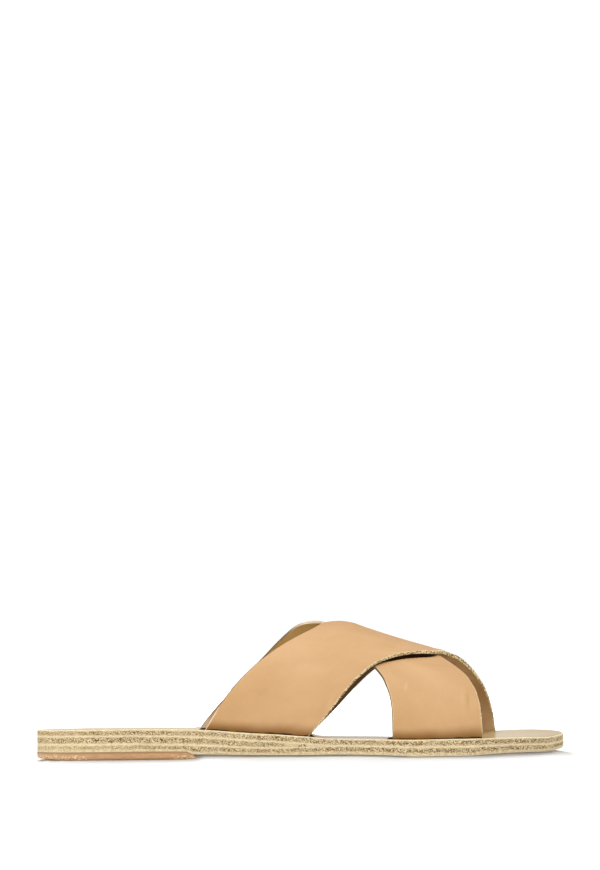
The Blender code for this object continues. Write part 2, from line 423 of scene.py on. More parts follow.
    def normal(self, x: Array, turn: Array) -> Array:
        """Find which way the arch faces, from places a little to each side.

        Args:
            x: Stations.
            turn: Turns.

        Returns:
            Outward normals of length 1, with a last axis of three.
        """
        along = self.point(x + self.probe_x, turn) - self.point(x - self.probe_x, turn)
        after, before = np.minimum(turn + self.probe_turn, 1.0), np.maximum(turn - self.probe_turn, 0.0)
        normal = np.cross(along, self.point(x, after) - self.point(x, before))
        return normal / np.linalg.norm(normal, axis=-1, keepdims=True)


WHITE = (1.0, 1.0, 1.0, 1.0)
RANGE_INPUTS = ("From Min", "From Max", "To Min", "To Max")

# Usual reach of a noise, and the tones and the fading edge of a fleck
NOISE_REACH: Range = (0.2, 0.8)
FLECK_TONES: Range = (0.4, 1.0)
FLECK_EDGE: Range = (0.3, 0.5)


class Graph:
    """Node graph of one material, written as short calls."""

    def __init__(self, name: str, roughness: float, specular: float) -> None:
        """Make the material and set what is the same all over it.

        Args:
            name: Name of the material.
            roughness: Roughness of the shader where no node drives it.
            specular: Specular level of the shader.
        """
        self.material = bpy.data.materials.new(name)
        self.material.use_nodes = True
        self.tree = self.material.node_tree
        self.shader = self.tree.nodes["Principled BSDF"]
        self.shader.inputs["Roughness"].default_value = roughness
        self.shader.inputs["Specular IOR Level"].default_value = specular

    def node(self, kind: str, inputs: Inputs | None = None, **settings: object) -> bpy.types.Node:
        """Add a node.

        Args:
            kind: Blender's name of the node's type.
            inputs: Value or socket for each named or numbered input.
            settings: Values of the node's own properties.

        Returns:
            The node.
        """
        made = self.tree.nodes.new(kind)
        for key, value in settings.items():
            setattr(made, key, value)
        for key, value in (inputs or {}).items():
            self.feed(made.inputs[key], value)
        return made

    def feed(self, socket: Socket, value: object) -> None:
        """Link a socket to an input, or set the input to a plain value.

        Args:
            socket: The input.
            value: Socket or plain value.
        """
        if isinstance(value, Socket):
            self.tree.links.new(value, socket)
        else:
            socket.default_value = value

    def place(self, name: str) -> Socket:
        """Return the piece's own coordinates in millimetres, from an attribute."""
        return self.node("ShaderNodeAttribute", attribute_name=name).outputs["Vector"]

    def spot(self) -> Socket:
        """Return the place in the scene, in metres."""
        return self.node("ShaderNodeTexCoord").outputs["Object"]

    def station(self, axis: str = "X") -> Socket:
        """Return one coordinate of the place in the scene, in millimetres."""
        return self.sum("MULTIPLY", self.part(self.spot(), axis), 1.0 / MM)

    def number(self, name: str) -> Socket:
        """Return a plain number from an attribute of the piece."""
        return self.node("ShaderNodeAttribute", attribute_name=name).outputs["Fac"]

    def stretch(self, vector: Socket, scale: Waves, turn: float = 0.0) -> Socket:
        """Return coordinates turned about their third axis and then stretched."""
        turned = self.node("ShaderNodeMapping", {"Vector": vector, "Rotation": (0.0, 0.0, turn)})
        return self.node("ShaderNodeMapping", {"Vector": turned.outputs[0], "Scale": scale}).outputs[0]

    def part(self, vector: Socket, axis: str) -> Socket:
        """Return one coordinate of a vector."""
        return self.node("ShaderNodeSeparateXYZ", {"Vector": vector}).outputs[axis]

    def noise(self, vector: Socket, scale: float, detail: float = 3.0, rough: float = 0.55) -> Socket:
        """Return a cloud noise from 0 to 1."""
        values = {"Vector": vector, "Scale": scale, "Detail": detail, "Roughness": rough}
        return self.node("ShaderNodeTexNoise", values).outputs["Fac"]

    def cells(self, vector: Socket, scale: float) -> Socket:
        """Return the distance to the nearest of scattered cell centres."""
        return self.node("ShaderNodeTexVoronoi", {"Vector": vector, "Scale": scale}).outputs["Distance"]

    def flat_cells(self, vector: Socket, scale: float) -> tuple[Socket, bpy.types.NodeOutputs]:
        """Scatter flat cells over the first two coordinates.

        Args:
            vector: Coordinates.
            scale: Cells for each unit of length.

        Returns:
            The distance to the nearest cell's centre, and chance values from 0 to 1 for each cell.
        """
        values = {"Vector": vector, "Scale": scale}
        cells = self.node("ShaderNodeTexVoronoi", values, voronoi_dimensions="2D")
        luck = self.node("ShaderNodeSeparateColor", {"Color": cells.outputs["Color"]})
        return cells.outputs["Distance"], luck.outputs

    def flecks(self, place: Socket, size: Range, lean: float, chance: Socket) -> Socket:
        """Scatter short separate strokes, one to a cell at most.

        Args:
            place: Coordinates in millimetres, whose first two are used.
            size: Length and height of a cell.
            lean: Slant of the strokes in radians.
            chance: Share of the cells that hold a stroke.

        Returns:
            Strength of the stroke from 0 to 1.
        """
        slanted = self.stretch(place, (1.0 / size[0], 1.0 / size[1], 1.0), lean)
        distance, luck = self.flat_cells(slanted, 1.0)
        held = self.sum("GREATER_THAN", chance, luck["Red"])
        tone = self.span(luck["Green"], 0.0, 1.0, *FLECK_TONES)
        return self.product(held, tone, self.span(distance, *FLECK_EDGE, 1.0, 0.0))

    def span(self, value: Socket, low: float, high: float, start: float = 0.0, end: float = 1.0) -> Socket:
        """Return value eased from start to end while it goes from low to high."""
        values = {"Value": value} | dict(zip(RANGE_INPUTS, (low, high, start, end)))
        return self.node("ShaderNodeMapRange", values, interpolation_type="SMOOTHSTEP").outputs["Result"]

    def window(self, value: Socket, rise: Range, fall: Range) -> Socket:
        """Return 1 between two ranges of a number, eased from 0 over the first and to 0 over the last."""
        return self.product(self.span(value, *rise), self.span(value, *fall, 1.0, 0.0))

    def stray(self, value: Socket, middle: float, change: Range) -> Socket:
        """Return a number that strays from its middle by a noise."""
        return self.span(value, *NOISE_REACH, middle + change[0], middle + change[1])

    def product(self, first: Socket, *others: object) -> Socket:
        """Multiply numbers.

        Args:
            first: Socket of the first number.
            others: Sockets or plain numbers.

        Returns:
            Their product.
        """
        for other in others:
            first = self.sum("MULTIPLY", first, other)
        return first

    def off(self, value: Socket, middle: float) -> Socket:
        """Return how far a number is from a middle value."""
        return self.sum("ABSOLUTE", self.sum("SUBTRACT", value, middle), 0.0)

    def sum(self, operation: str, first: object, second: object) -> Socket:
        """Return a sum of two numbers or sockets, by Blender's name of the operation."""
        return self.node("ShaderNodeMath", {0: first, 1: second}, operation=operation).outputs[0]

    def mix(self, share: object, first: object, second: object, blend: str = "MIX") -> Socket:
        """Mix two colours.

        Args:
            share: Share of the second colour.
            first: Colour or socket.
            second: Colour or socket.
            blend: Blender's name of the way to mix.

        Returns:
            The mixed colour.
        """
        colours = [(*c, 1.0) if isinstance(c, tuple) else c for c in (first, second)]
        inputs = {0: share, 6: colours[0], 7: colours[1]}
        return self.node("ShaderNodeMix", inputs, data_type="RGBA", blend_type=blend).outputs[2]

    def bump(self, height: Socket, depth: float) -> Socket:
        """Return a normal bent by a height from 0 to 1, which stands for a depth in millimetres."""
        values = {"Height": height, "Distance": depth * MM, "Strength": 1.0}
        return self.node("ShaderNodeBump", values).outputs["Normal"]

    def dress(self, colour: Socket, normal: Socket, roughness: Socket | None = None) -> Material:
        """Link the finished sockets to the shader.

        Args:
            colour: Base colour.
            normal: Bent normal.
            roughness: Roughness, where it isn't the same all over.

        Returns:
            The material.
        """
        self.feed(self.shader.inputs["Base Color"], colour)
        self.feed(self.shader.inputs["Normal"], normal)
        if roughness is not None:
            self.feed(self.shader.inputs["Roughness"], roughness)
        return self.material


# Attributes of the meshes, which the finishes read
STRAP_PLACE = "strap_place"
BARE_DISTANCE = "bare_distance"
RIM_DISTANCE = "rim_distance"
CREASE_HEIGHT = "crease_height"
EDGE_PLACE = "edge_place"
EDGE_SHADE = "edge_shade"

# Height of a cut edge in its own coordinates, on a sole layer and on a strap
EDGE_DEPTH = 4.0
STRAP_EDGE_DEPTH = 2.0

# A station that the shoe doesn't reach
PAST_TOE = 200.0


@dataclass(frozen=True)
class GrainLeather:
    """Smooth outer side of the strap leather, with painted shade where it goes under something and a
    painted highlight along its edges.
    """

    name: str = "strap_grain_side"
    colour: Colour = (0.605, 0.352, 0.157)
    pale: Colour = (0.65, 0.392, 0.187)
    cloud_scale: float = 0.03
    fine_scale: float = 0.7
    speckle_dark: Colour = (0.42, 0.42, 0.42)
    speckle_light: Colour = (0.6, 0.6, 0.6)
    speckle_share: float = 0.1
    # Painted shade: the grain side darkens near the slits and where the strap goes under the other one
    painted_shade: Colour = (0.23, 0.092, 0.003)
    painted_shade_from: float = -0.5
    painted_shade_reach: float = 6.3
    painted_shade_share: float = 0.9
    painted_shade_wobble: float = 0.8
    # Painted shadow: a narrow near-black line just above the slits, with a ragged edge
    contact_shadow: Colour = (0.05, 0.022, 0.006)
    contact_shadow_at: float = 0.3
    contact_shadow_fade: float = 0.35
    contact_shadow_scale: float = 0.16
    contact_shadow_wobble: float = 0.2
    # Painted highlight on the creases' ridges and painted shade in their troughs
    ridge_highlight: Colour = (0.74, 0.48, 0.25)
    trough_shade: Colour = (0.42, 0.225, 0.085)
    crease_full: float = 0.22
    crease_share: float = 0.6
    # Painted highlight along the strap's edges, within about a millimetre of them
    rim: Colour = (0.80, 0.62, 0.38)
    highlight_rim_width: float = 1.0
    highlight_rim_share: float = 0.6
    highlight_rim_wobble: float = 0.2
    roughness: float = 0.5
    roughness_change: Range = (-0.07, 0.1)
    specular: float = 0.3
    pore_scale: float = 1.35
    grain_depth: float = 0.05

    def material(self) -> Material:
        """Put the finish together.

        Returns:
            The material.
        """
        graph = Graph(self.name, self.roughness, self.specular)
        place, bare = graph.place(STRAP_PLACE), graph.number(BARE_DISTANCE)
        clouds = graph.noise(place, self.cloud_scale)
        colour = graph.mix(graph.span(clouds, 0.36, 0.66), self.colour, self.pale)
        fine = graph.noise(place, self.fine_scale, 4.0, 0.6)
        speckle = graph.mix(graph.span(fine, 0.3, 0.7), self.speckle_dark, self.speckle_light)
        colour = graph.mix(self.speckle_share, colour, speckle, "OVERLAY")
        # Painted highlight along the strap's edges
        wobble = graph.span(fine, 0.3, 0.7, -self.highlight_rim_wobble, self.highlight_rim_wobble)
        edge = graph.sum("ADD", graph.number(RIM_DISTANCE), wobble)
        rim = graph.span(edge, 0.5 * self.highlight_rim_width, self.highlight_rim_width, self.highlight_rim_share, 0.0)
        colour = graph.mix(rim, colour, self.rim)
        # Painted shade near the slits and under the other strap, with a cloudy edge
        wobble = graph.span(clouds, 0.3, 0.7, -self.painted_shade_wobble, self.painted_shade_wobble)
        cloudy = graph.sum("ADD", bare, wobble)
        painted_shade = graph.span(cloudy, self.painted_shade_from, self.painted_shade_reach, self.painted_shade_share, 0.0)
        colour = graph.mix(painted_shade, colour, self.painted_shade)
        # Painted highlight and shade by the crease height
        crease = graph.number(CREASE_HEIGHT)
        ridge_highlight = graph.span(crease, 0.0, self.crease_full, 0.0, self.crease_share)
        colour = graph.mix(ridge_highlight, colour, self.ridge_highlight)
        trough_shade = graph.span(crease, -self.crease_full, 0.0, self.crease_share, 0.0)
        colour = graph.mix(trough_shade, colour, self.trough_shade)
        # Painted shadow line at the strap's feet
        ragged = graph.noise(place, self.contact_shadow_scale, 2.0)
        wobble = graph.span(ragged, 0.35, 0.65, -self.contact_shadow_wobble, self.contact_shadow_wobble)
        contact_shadow = graph.sum("SUBTRACT", bare, wobble)
        contact_shadow = graph.span(contact_shadow, self.contact_shadow_at, self.contact_shadow_at + self.contact_shadow_fade, 1.0, 0.0)
        colour = graph.mix(contact_shadow, colour, self.contact_shadow)
        pores = graph.span(graph.cells(place, self.pore_scale), 0.0, 0.5)
        normal = graph.bump(graph.mix(0.5, pores, fine), self.grain_depth)
        return graph.dress(colour, normal, graph.stray(fine, self.roughness, self.roughness_change))


@dataclass(frozen=True)
class FleshLeather:
    """Napped inner side of the strap leather, with golden painted light high up, painted shade mid-way and
    painted light at its feet.
    """

    name: str = "strap_flesh_side"
    colour: Colour = (0.45, 0.27, 0.122)
    pale: Colour = (0.56, 0.365, 0.19)
    cloud_scale: float = 0.06
    nap_stretch: Waves = (0.7, 1.6, 1.0)
    nap_scale: float = 1.4
    nap_share: float = 0.35
    # Painted light: the flesh side turns golden high up on the arch
    golden: Colour = (0.54, 0.33, 0.105)
    top_light_from: Range = (44.0, 53.0)
    top_light_share: float = 0.9
    # Painted shade in the middle of the flesh side, between these stations
    painted_middle_shade: Colour = (0.2, 0.135, 0.075)
    middle_shade_from: Range = (8.0, 16.0)
    middle_shade_to: Range = (36.0, 46.0)
    # Painted light near the feet, paler at the rear foot than at the front one
    rear_foot_light: Colour = (0.92, 0.745, 0.55)
    front_foot_light: Colour = (0.72, 0.47, 0.25)
    foot_light_change: Range = (0.0, 40.0)
    foot_light_reach: float = 11.0
    foot_light_share: float = 0.9
    roughness: float = 0.9
    specular: float = 0.1
    nap_depth: float = 0.16

    def material(self) -> Material:
        """Put the finish together.

        Returns:
            The material.
        """
        graph = Graph(self.name, self.roughness, self.specular)
        place, station = graph.place(STRAP_PLACE), graph.station()
        nap = graph.noise(graph.stretch(place, self.nap_stretch), self.nap_scale, 5.0, 0.65)
        clouds = graph.noise(place, self.cloud_scale)
        colour = graph.mix(graph.span(clouds, 0.35, 0.7), self.colour, self.pale)
        colour = graph.mix(graph.span(nap, 0.3, 0.75, 0.0, self.nap_share), colour, self.pale)
        # Painted light high up
        high = graph.span(graph.station("Z"), *self.top_light_from, 0.0, self.top_light_share)
        colour = graph.mix(high, colour, self.golden)
        # Painted shade in the middle
        middle = graph.window(station, self.middle_shade_from, self.middle_shade_to)
        colour = graph.mix(middle, colour, self.painted_middle_shade)
        # Painted light near the feet
        foot = graph.mix(graph.span(station, *self.foot_light_change), self.rear_foot_light, self.front_foot_light)
        painted_foot_light = graph.span(graph.number(BARE_DISTANCE), 0.0, self.foot_light_reach, self.foot_light_share, 0.0)
        colour = graph.mix(painted_foot_light, colour, foot)
        return graph.dress(colour, graph.bump(nap, self.nap_depth))


@dataclass(frozen=True)
class SlitLeather:
    """Fibrous wall inside a slit, painted near black for the shade in the slot."""

    name: str = "slit_wall_shade"
    # Near-black painted shade for the slot, with paler fibres
    colour: Colour = (0.06, 0.032, 0.012)
    pale: Colour = (0.17, 0.1, 0.045)
    fibre_scale: float = 700.0
    roughness: float = 0.9
    specular: float = 0.1
    fibre_depth: float = 0.1

    def material(self) -> Material:
        """Put the finish together.

        Returns:
            The material.
        """
        graph = Graph(self.name, self.roughness, self.specular)
        fibres = graph.noise(graph.spot(), self.fibre_scale, 4.0, 0.6)
        colour = graph.mix(graph.span(fibres, 0.4, 0.75), self.colour, self.pale)
        return graph.dress(colour, graph.bump(fibres, self.fibre_depth))


@dataclass(frozen=True)
class CutLeather:
    """Fibrous cut edge: pale, with a painted highlight along both faces and a row of dark and bright fibre
    ends between them.

    The row turns golden and weaker toward the heel. It may end at a station, with a few dark specks past
    that.
    """

    name: str
    thickness: float
    pale: Colour
    dark: Colour
    fibre: Colour
    bright: Colour
    # Painted highlight along both faces of the cut edge
    rim: Colour = (1.0, 0.87, 0.62)
    highlight_rim_from: Range = (0.38, 0.47)
    highlight_rim_share: float = 0.6
    row_middle: float = 0.5
    row_half: float = 0.3
    row_fade: Range = (0.4, 1.15)
    row_share: float = 1.0
    row_least: float = 0.5
    ragged_stretch: Waves = (1.0, 0.5, 0.3)
    ragged_scale: float = 0.3
    row_wobble: float = 0.08
    patch_stretch: Waves = (1.0, 0.1, 0.1)
    patch_scale: float = 0.09
    mottle_stretch: Waves = (0.6, 1.6, 1.0)
    mottle_scale: float = 1.1
    row_end: float = PAST_TOE
    row_end_run: float = 8.0
    heel_share: float = 1.0
    heel_fade: Range = (-85.0, -45.0)
    golden_heel: Range = (-110.0, -85.0)
    golden_dark: float = 0.85
    warm: Colour = (0.53, 0.31, 0.088)
    warm_share: float = 0.75
    specks: Range = (PAST_TOE, PAST_TOE + 1.0)
    speck_fade: float = 0.3
    speck_size: Range = (0.95, 3.6)
    shade: Colour = (0.2, 0.135, 0.06)
    grit: float = 3.3
    grit_stretch: Waves = (1.0, 1.1, 1.0)
    dark_grit: Range = (0.4, 0.46)
    light_grit: Range = (0.6, 0.66)
    light_least: float = 0.3
    lean_deg: float = 18.0
    fibre_depth: float = 0.06
    roughness: float = 0.75
    specular: float = 0.2

    def row(self, graph: Graph, share: Socket, patches: Socket) -> Socket:
        """Work out how strongly the row of fibre ends shows.

        Args:
            graph: The material's nodes.
            share: Share of the edge's height.
            patches: Slow noise along the edge.

        Returns:
            Strength from 0 to 1.
        """
        stretched = graph.stretch(graph.place(EDGE_PLACE), self.ragged_stretch)
        ragged = graph.noise(stretched, self.ragged_scale, 3.0, 0.6)
        wobble = graph.span(ragged, 0.25, 0.75, -self.row_wobble, self.row_wobble)
        off = graph.off(graph.sum("ADD", share, wobble), self.row_middle)
        near, far = (self.row_half * part for part in self.row_fade)
        return graph.product(
            graph.span(off, near, far, 1.0, 0.0),
            graph.span(patches, 0.3, 0.6, self.row_least * self.row_share, self.row_share),
            graph.span(graph.station(), self.row_end - self.row_end_run, self.row_end, 1.0, 0.0),
            graph.span(graph.station(), *self.heel_fade, self.heel_share, 1.0),
        )

    def material(self) -> Material:
        """Put the finish together.

        Returns:
            The material.
        """
        graph = Graph(self.name, self.roughness, self.specular)
        place, station = graph.place(EDGE_PLACE), graph.station()
        patches = graph.noise(graph.stretch(place, self.patch_stretch), self.patch_scale, 2.0)
        share = graph.sum("DIVIDE", graph.part(place, "Y"), self.thickness)
        row = self.row(graph, share, patches)
        slanted = graph.stretch(place, self.grit_stretch, math.radians(self.lean_deg))
        grit = graph.flat_cells(slanted, self.grit)[1]["Red"]
        golden = graph.span(station, *self.golden_heel, 1.0, 0.0)
        weaker = graph.span(golden, 0.0, 1.0, 1.0, self.golden_dark)
        dark = graph.product(graph.span(grit, *self.dark_grit, 1.0, 0.0), row, weaker)
        in_row = graph.span(row, 0.0, 1.0, self.light_least, 1.0)
        light = graph.product(graph.span(grit, *self.light_grit), in_row)
        start, end = self.specks
        specks = graph.window(station, (start, start + self.speck_fade), (end - self.speck_fade, end))
        dark = graph.sum("MAXIMUM", dark, graph.flecks(place, self.speck_size, 0.0, specks))
        mottle = graph.noise(graph.stretch(place, self.mottle_stretch), self.mottle_scale, 2.0)
        colour = graph.mix(graph.span(mottle, 0.35, 0.65), self.pale, self.bright)
        # Painted highlight near both faces
        rim = graph.span(graph.off(share, 0.5), *self.highlight_rim_from, 0.0, self.highlight_rim_share)
        colour = graph.mix(rim, colour, self.rim)
        golden = graph.sum("MAXIMUM", graph.span(patches, 0.42, 0.62), golden)
        row_colour = graph.mix(golden, self.dark, self.warm)
        colour = graph.mix(graph.product(row, self.warm_share), colour, row_colour)
        colour = graph.mix(light, colour, self.bright)
        colour = graph.mix(dark, colour, self.fibre)
        colour = graph.mix(graph.number(EDGE_SHADE), colour, self.shade)
        return graph.dress(colour, graph.bump(graph.sum("SUBTRACT", light, dark), self.fibre_depth))


@dataclass(frozen=True)
class FootbedLeather:
    """Pale smooth face of a sole layer."""

    name: str
    colour: Colour = (0.57, 0.4, 0.165)
    pale: Colour = (0.6, 0.445, 0.205)
    cloud_stretch: Waves = (0.6, 1.0, 1.0)
    cloud_scale: float = 32.0
    fine_scale: float = 900.0
    fine_share: float = 0.06
    pore_scale: float = 1100.0
    roughness: float = 0.6
    roughness_change: Range = (-0.02, 0.03)
    specular: float = 0.26
    grain_depth: float = 0.006

    def material(self) -> Material:
        """Put the finish together.

        Returns:
            The material.
        """
        graph = Graph(self.name, self.roughness, self.specular)
        spot = graph.spot()
        clouds = graph.noise(graph.stretch(spot, self.cloud_stretch), self.cloud_scale, 4.0, 0.6)
        colour = graph.mix(graph.span(clouds, 0.34, 0.68), self.colour, self.pale)
        fine = graph.noise(spot, self.fine_scale, 4.0, 0.6)
        colour = graph.mix(graph.span(fine, 0.45, 0.75, 0.0, self.fine_share), colour, self.colour)
        pores = graph.span(graph.cells(spot, self.pore_scale), 0.05, 0.5)
        normal = graph.bump(graph.mix(0.5, pores, fine), self.grain_depth)
        return graph.dress(colour, normal, graph.stray(fine, self.roughness, self.roughness_change))


@dataclass(frozen=True)
class LiftLeather:
    """Salmon-brown edge of the heel lift, streaked along its length, with rubbed pale corners."""

    name: str = "lift_edge"
    colour: Colour = (0.70, 0.395, 0.19)
    shade: Colour = (0.40, 0.24, 0.122)
    rubbed: Colour = (0.93, 0.70, 0.40)
    thickness: float = EDGE_DEPTH
    lit_middle: float = 0.45
    lit_fade: Range = (0.15, 0.5)
    lit_least: float = 0.55
    streak_stretch: Waves = (0.35, 1.6, 0.4)
    streak_scale: float = 0.9
    rubbed_rear: Range = (-108.0, -98.0)
    rubbed_front: Range = (-66.0, -54.0)
    rubbed_low: Range = (0.35, 0.8)
    rubbed_share: float = 0.9
    fleck: Range = (1.25, 0.95)
    lean_deg: float = 30.0
    roughness: float = 0.6
    specular: float = 0.25
    streak_depth: float = 0.12

    def material(self) -> Material:
        """Put the finish together.

        Returns:
            The material.
        """
        graph = Graph(self.name, self.roughness, self.specular)
        place, station = graph.place(EDGE_PLACE), graph.station()
        streaks = graph.noise(graph.stretch(place, self.streak_stretch), self.streak_scale, 4.0, 0.6)
        share = graph.sum("DIVIDE", graph.part(place, "Y"), self.thickness)
        middle = graph.span(graph.off(share, self.lit_middle), *self.lit_fade, 1.0, 0.0)
        lit = graph.product(middle, graph.span(streaks, 0.3, 0.65, self.lit_least, 1.0))
        colour = graph.mix(lit, self.shade, self.colour)
        rear = graph.span(station, *self.rubbed_rear, 1.0, 0.0)
        front = graph.span(station, *self.rubbed_front)
        low = graph.span(share, *self.rubbed_low, self.rubbed_share, 0.0)
        worn = graph.product(graph.sum("MAXIMUM", rear, front), low)
        worn = graph.flecks(place, self.fleck, math.radians(self.lean_deg), worn)
        colour = graph.mix(worn, colour, self.rubbed)
        return graph.dress(colour, graph.bump(streaks, self.streak_depth))


# Colours of the sole's cut edges, from the pale ground to the dark and bright fibre ends
SOLE_PALE: Colour = (0.61, 0.465, 0.24)
SOLE_DARK: Colour = (0.46, 0.315, 0.13)
SOLE_FIBRE: Colour = (0.13, 0.066, 0.012)
SOLE_BRIGHT: Colour = (0.9, 0.74, 0.47)

# Layers that tell where in the grid a vertex is
KEY_LAYERS = ("level", "row", "column")


class Slab:
    """A slab of leather: a grid extruded level by level, whose vertices then go to their places."""

    def __init__(self, name: str, points: Array) -> None:
        """Make the closed mesh.

        Args:
            name: Name of the finished object.
            points: Places in millimetres by level, row and column, with a last axis of three.
        """
        self.name = name
        self.levels, self.rows, self.columns = points.shape[:3]
        self.bm = bmesh.new()
        bmesh.ops.create_grid(self.bm, x_segments=self.rows - 1, y_segments=self.columns - 1, size=1.0)
        top = self.bm.verts[:] + self.bm.edges[:] + self.bm.faces[:]
        for _ in range(self.levels - 1):
            top = bmesh.ops.extrude_face_region(self.bm, geom=top)["geom"]
            verts = [item for item in top if isinstance(item, bmesh.types.BMVert)]
            bmesh.ops.translate(self.bm, verts=verts, vec=(0.0, 0.0, 1.0))
        bmesh.ops.recalc_face_normals(self.bm, faces=self.bm.faces)
        self.keys = [self.bm.verts.layers.int.new(key) for key in KEY_LAYERS]
        for vert in self.bm.verts:
            row = round((vert.co.x + 1.0) / 2.0 * (self.rows - 1))
            column = round((vert.co.y + 1.0) / 2.0 * (self.columns - 1))
            for key, value in zip(self.keys, (round(vert.co.z), row, column)):
                vert[key] = value
            vert.co = points[self.key(vert)] * MM
        if self.bm.calc_volume(signed=True) < 0.0:
            bmesh.ops.reverse_faces(self.bm, faces=self.bm.faces)
        self.sort_faces()

    def key(self, vert: bmesh.types.BMVert) -> tuple[int, int, int]:
        """Return a vertex's level, row and column."""
        return tuple(vert[key] for key in self.keys)

    def sort_faces(self) -> None:
        """Give each face the material slot of its kind."""
        for face in self.bm.faces:
            levels = {vert[self.keys[0]] for vert in face.verts}
            kind = Face.CUT
            if levels == {self.levels - 1}:
                kind = Face.UPPER
            elif levels == {0}:
                kind = Face.LOWER
            elif {vert[self.keys[2]] for vert in face.verts} == {0}:
                kind = Face.REAR_CUT
            face.material_index = kind.value
            face.smooth = True

    def note(self, name: str, values: Array) -> None:
        """Store an attribute on the vertices.

        Args:
            name: Name of the attribute.
            values: Numbers or vectors by level, row and column.
        """
        layers = self.bm.verts.layers
        layer = (layers.float_vector if values.ndim == 4 else layers.float).new(name)
        for vert in self.bm.verts:
            value = values[self.key(vert)]
            vert[layer] = Vector(value) if values.ndim == 4 else float(value)

    def cut_slot(self, rows: tuple[int, int], columns: tuple[int, int], lip: float) -> None:
        """Cut a slot through the slab.

        Args:
            rows: First and last row of the slot.
            columns: First and last column of the slot.
            lip: Rounding of its upper edge, in millimetres.
        """
        inside = []
        for face in self.bm.faces:
            keys = [self.key(vert) for vert in face.verts]
            in_rows = all(rows[0] <= key[1] <= rows[1] for key in keys)
            in_columns = all(columns[0] <= key[2] <= columns[1] for key in keys)
            if face.material_index in (Face.UPPER.value, Face.LOWER.value) and in_rows and in_columns:
                inside.append(face)
        bmesh.ops.delete(self.bm, geom=inside, context="FACES")
        loops = [edge for edge in self.bm.edges if edge.is_boundary]
        upper = [edge for edge in loops if edge.verts[0][self.keys[0]] == self.levels - 1]
        for face in bmesh.ops.bridge_loops(self.bm, edges=loops)["faces"]:
            face.material_index = Face.SLIT.value
            face.smooth = True
        rounded = bmesh.ops.bevel(
            self.bm, geom=upper, offset=lip * MM, segments=3, profile=0.5, affect="EDGES", material=-1
        )
        # The rounded lip takes the slot's painted shade too
        for face in rounded["faces"]:
            face.material_index = Face.SLIT.value

    def finish(self, body: str, node: str, slot: str, materials: Dressing) -> bpy.types.Object:
        """Make the object, hang it on its CAD body and hide the CAD node that it replaces.

        Args:
            body: CAD body that it rides on.
            node: CAD node that it replaces.
            slot: Not used.
            materials: Material of each kind of face, where a rear cut has that of any cut by default.

        Returns:
            The finished piece.
        """
        for key in KEY_LAYERS:
            self.bm.verts.layers.int.remove(self.bm.verts.layers.int[key])
        kinds = list(materials)
        for face in self.bm.faces:
            kind = Face(face.material_index)
            face.material_index = kinds.index(kind if kind in materials else Face.CUT)
        mesh = bpy.data.meshes.new(self.name)
        self.bm.to_mesh(mesh)
        self.bm.free()
        for material in materials.values():
            mesh.materials.append(material)
        piece = bpy.data.objects.new(self.name, mesh)
        bpy.context.scene.collection.objects.link(piece)
        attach(piece, body)
        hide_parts(node)
        return piece


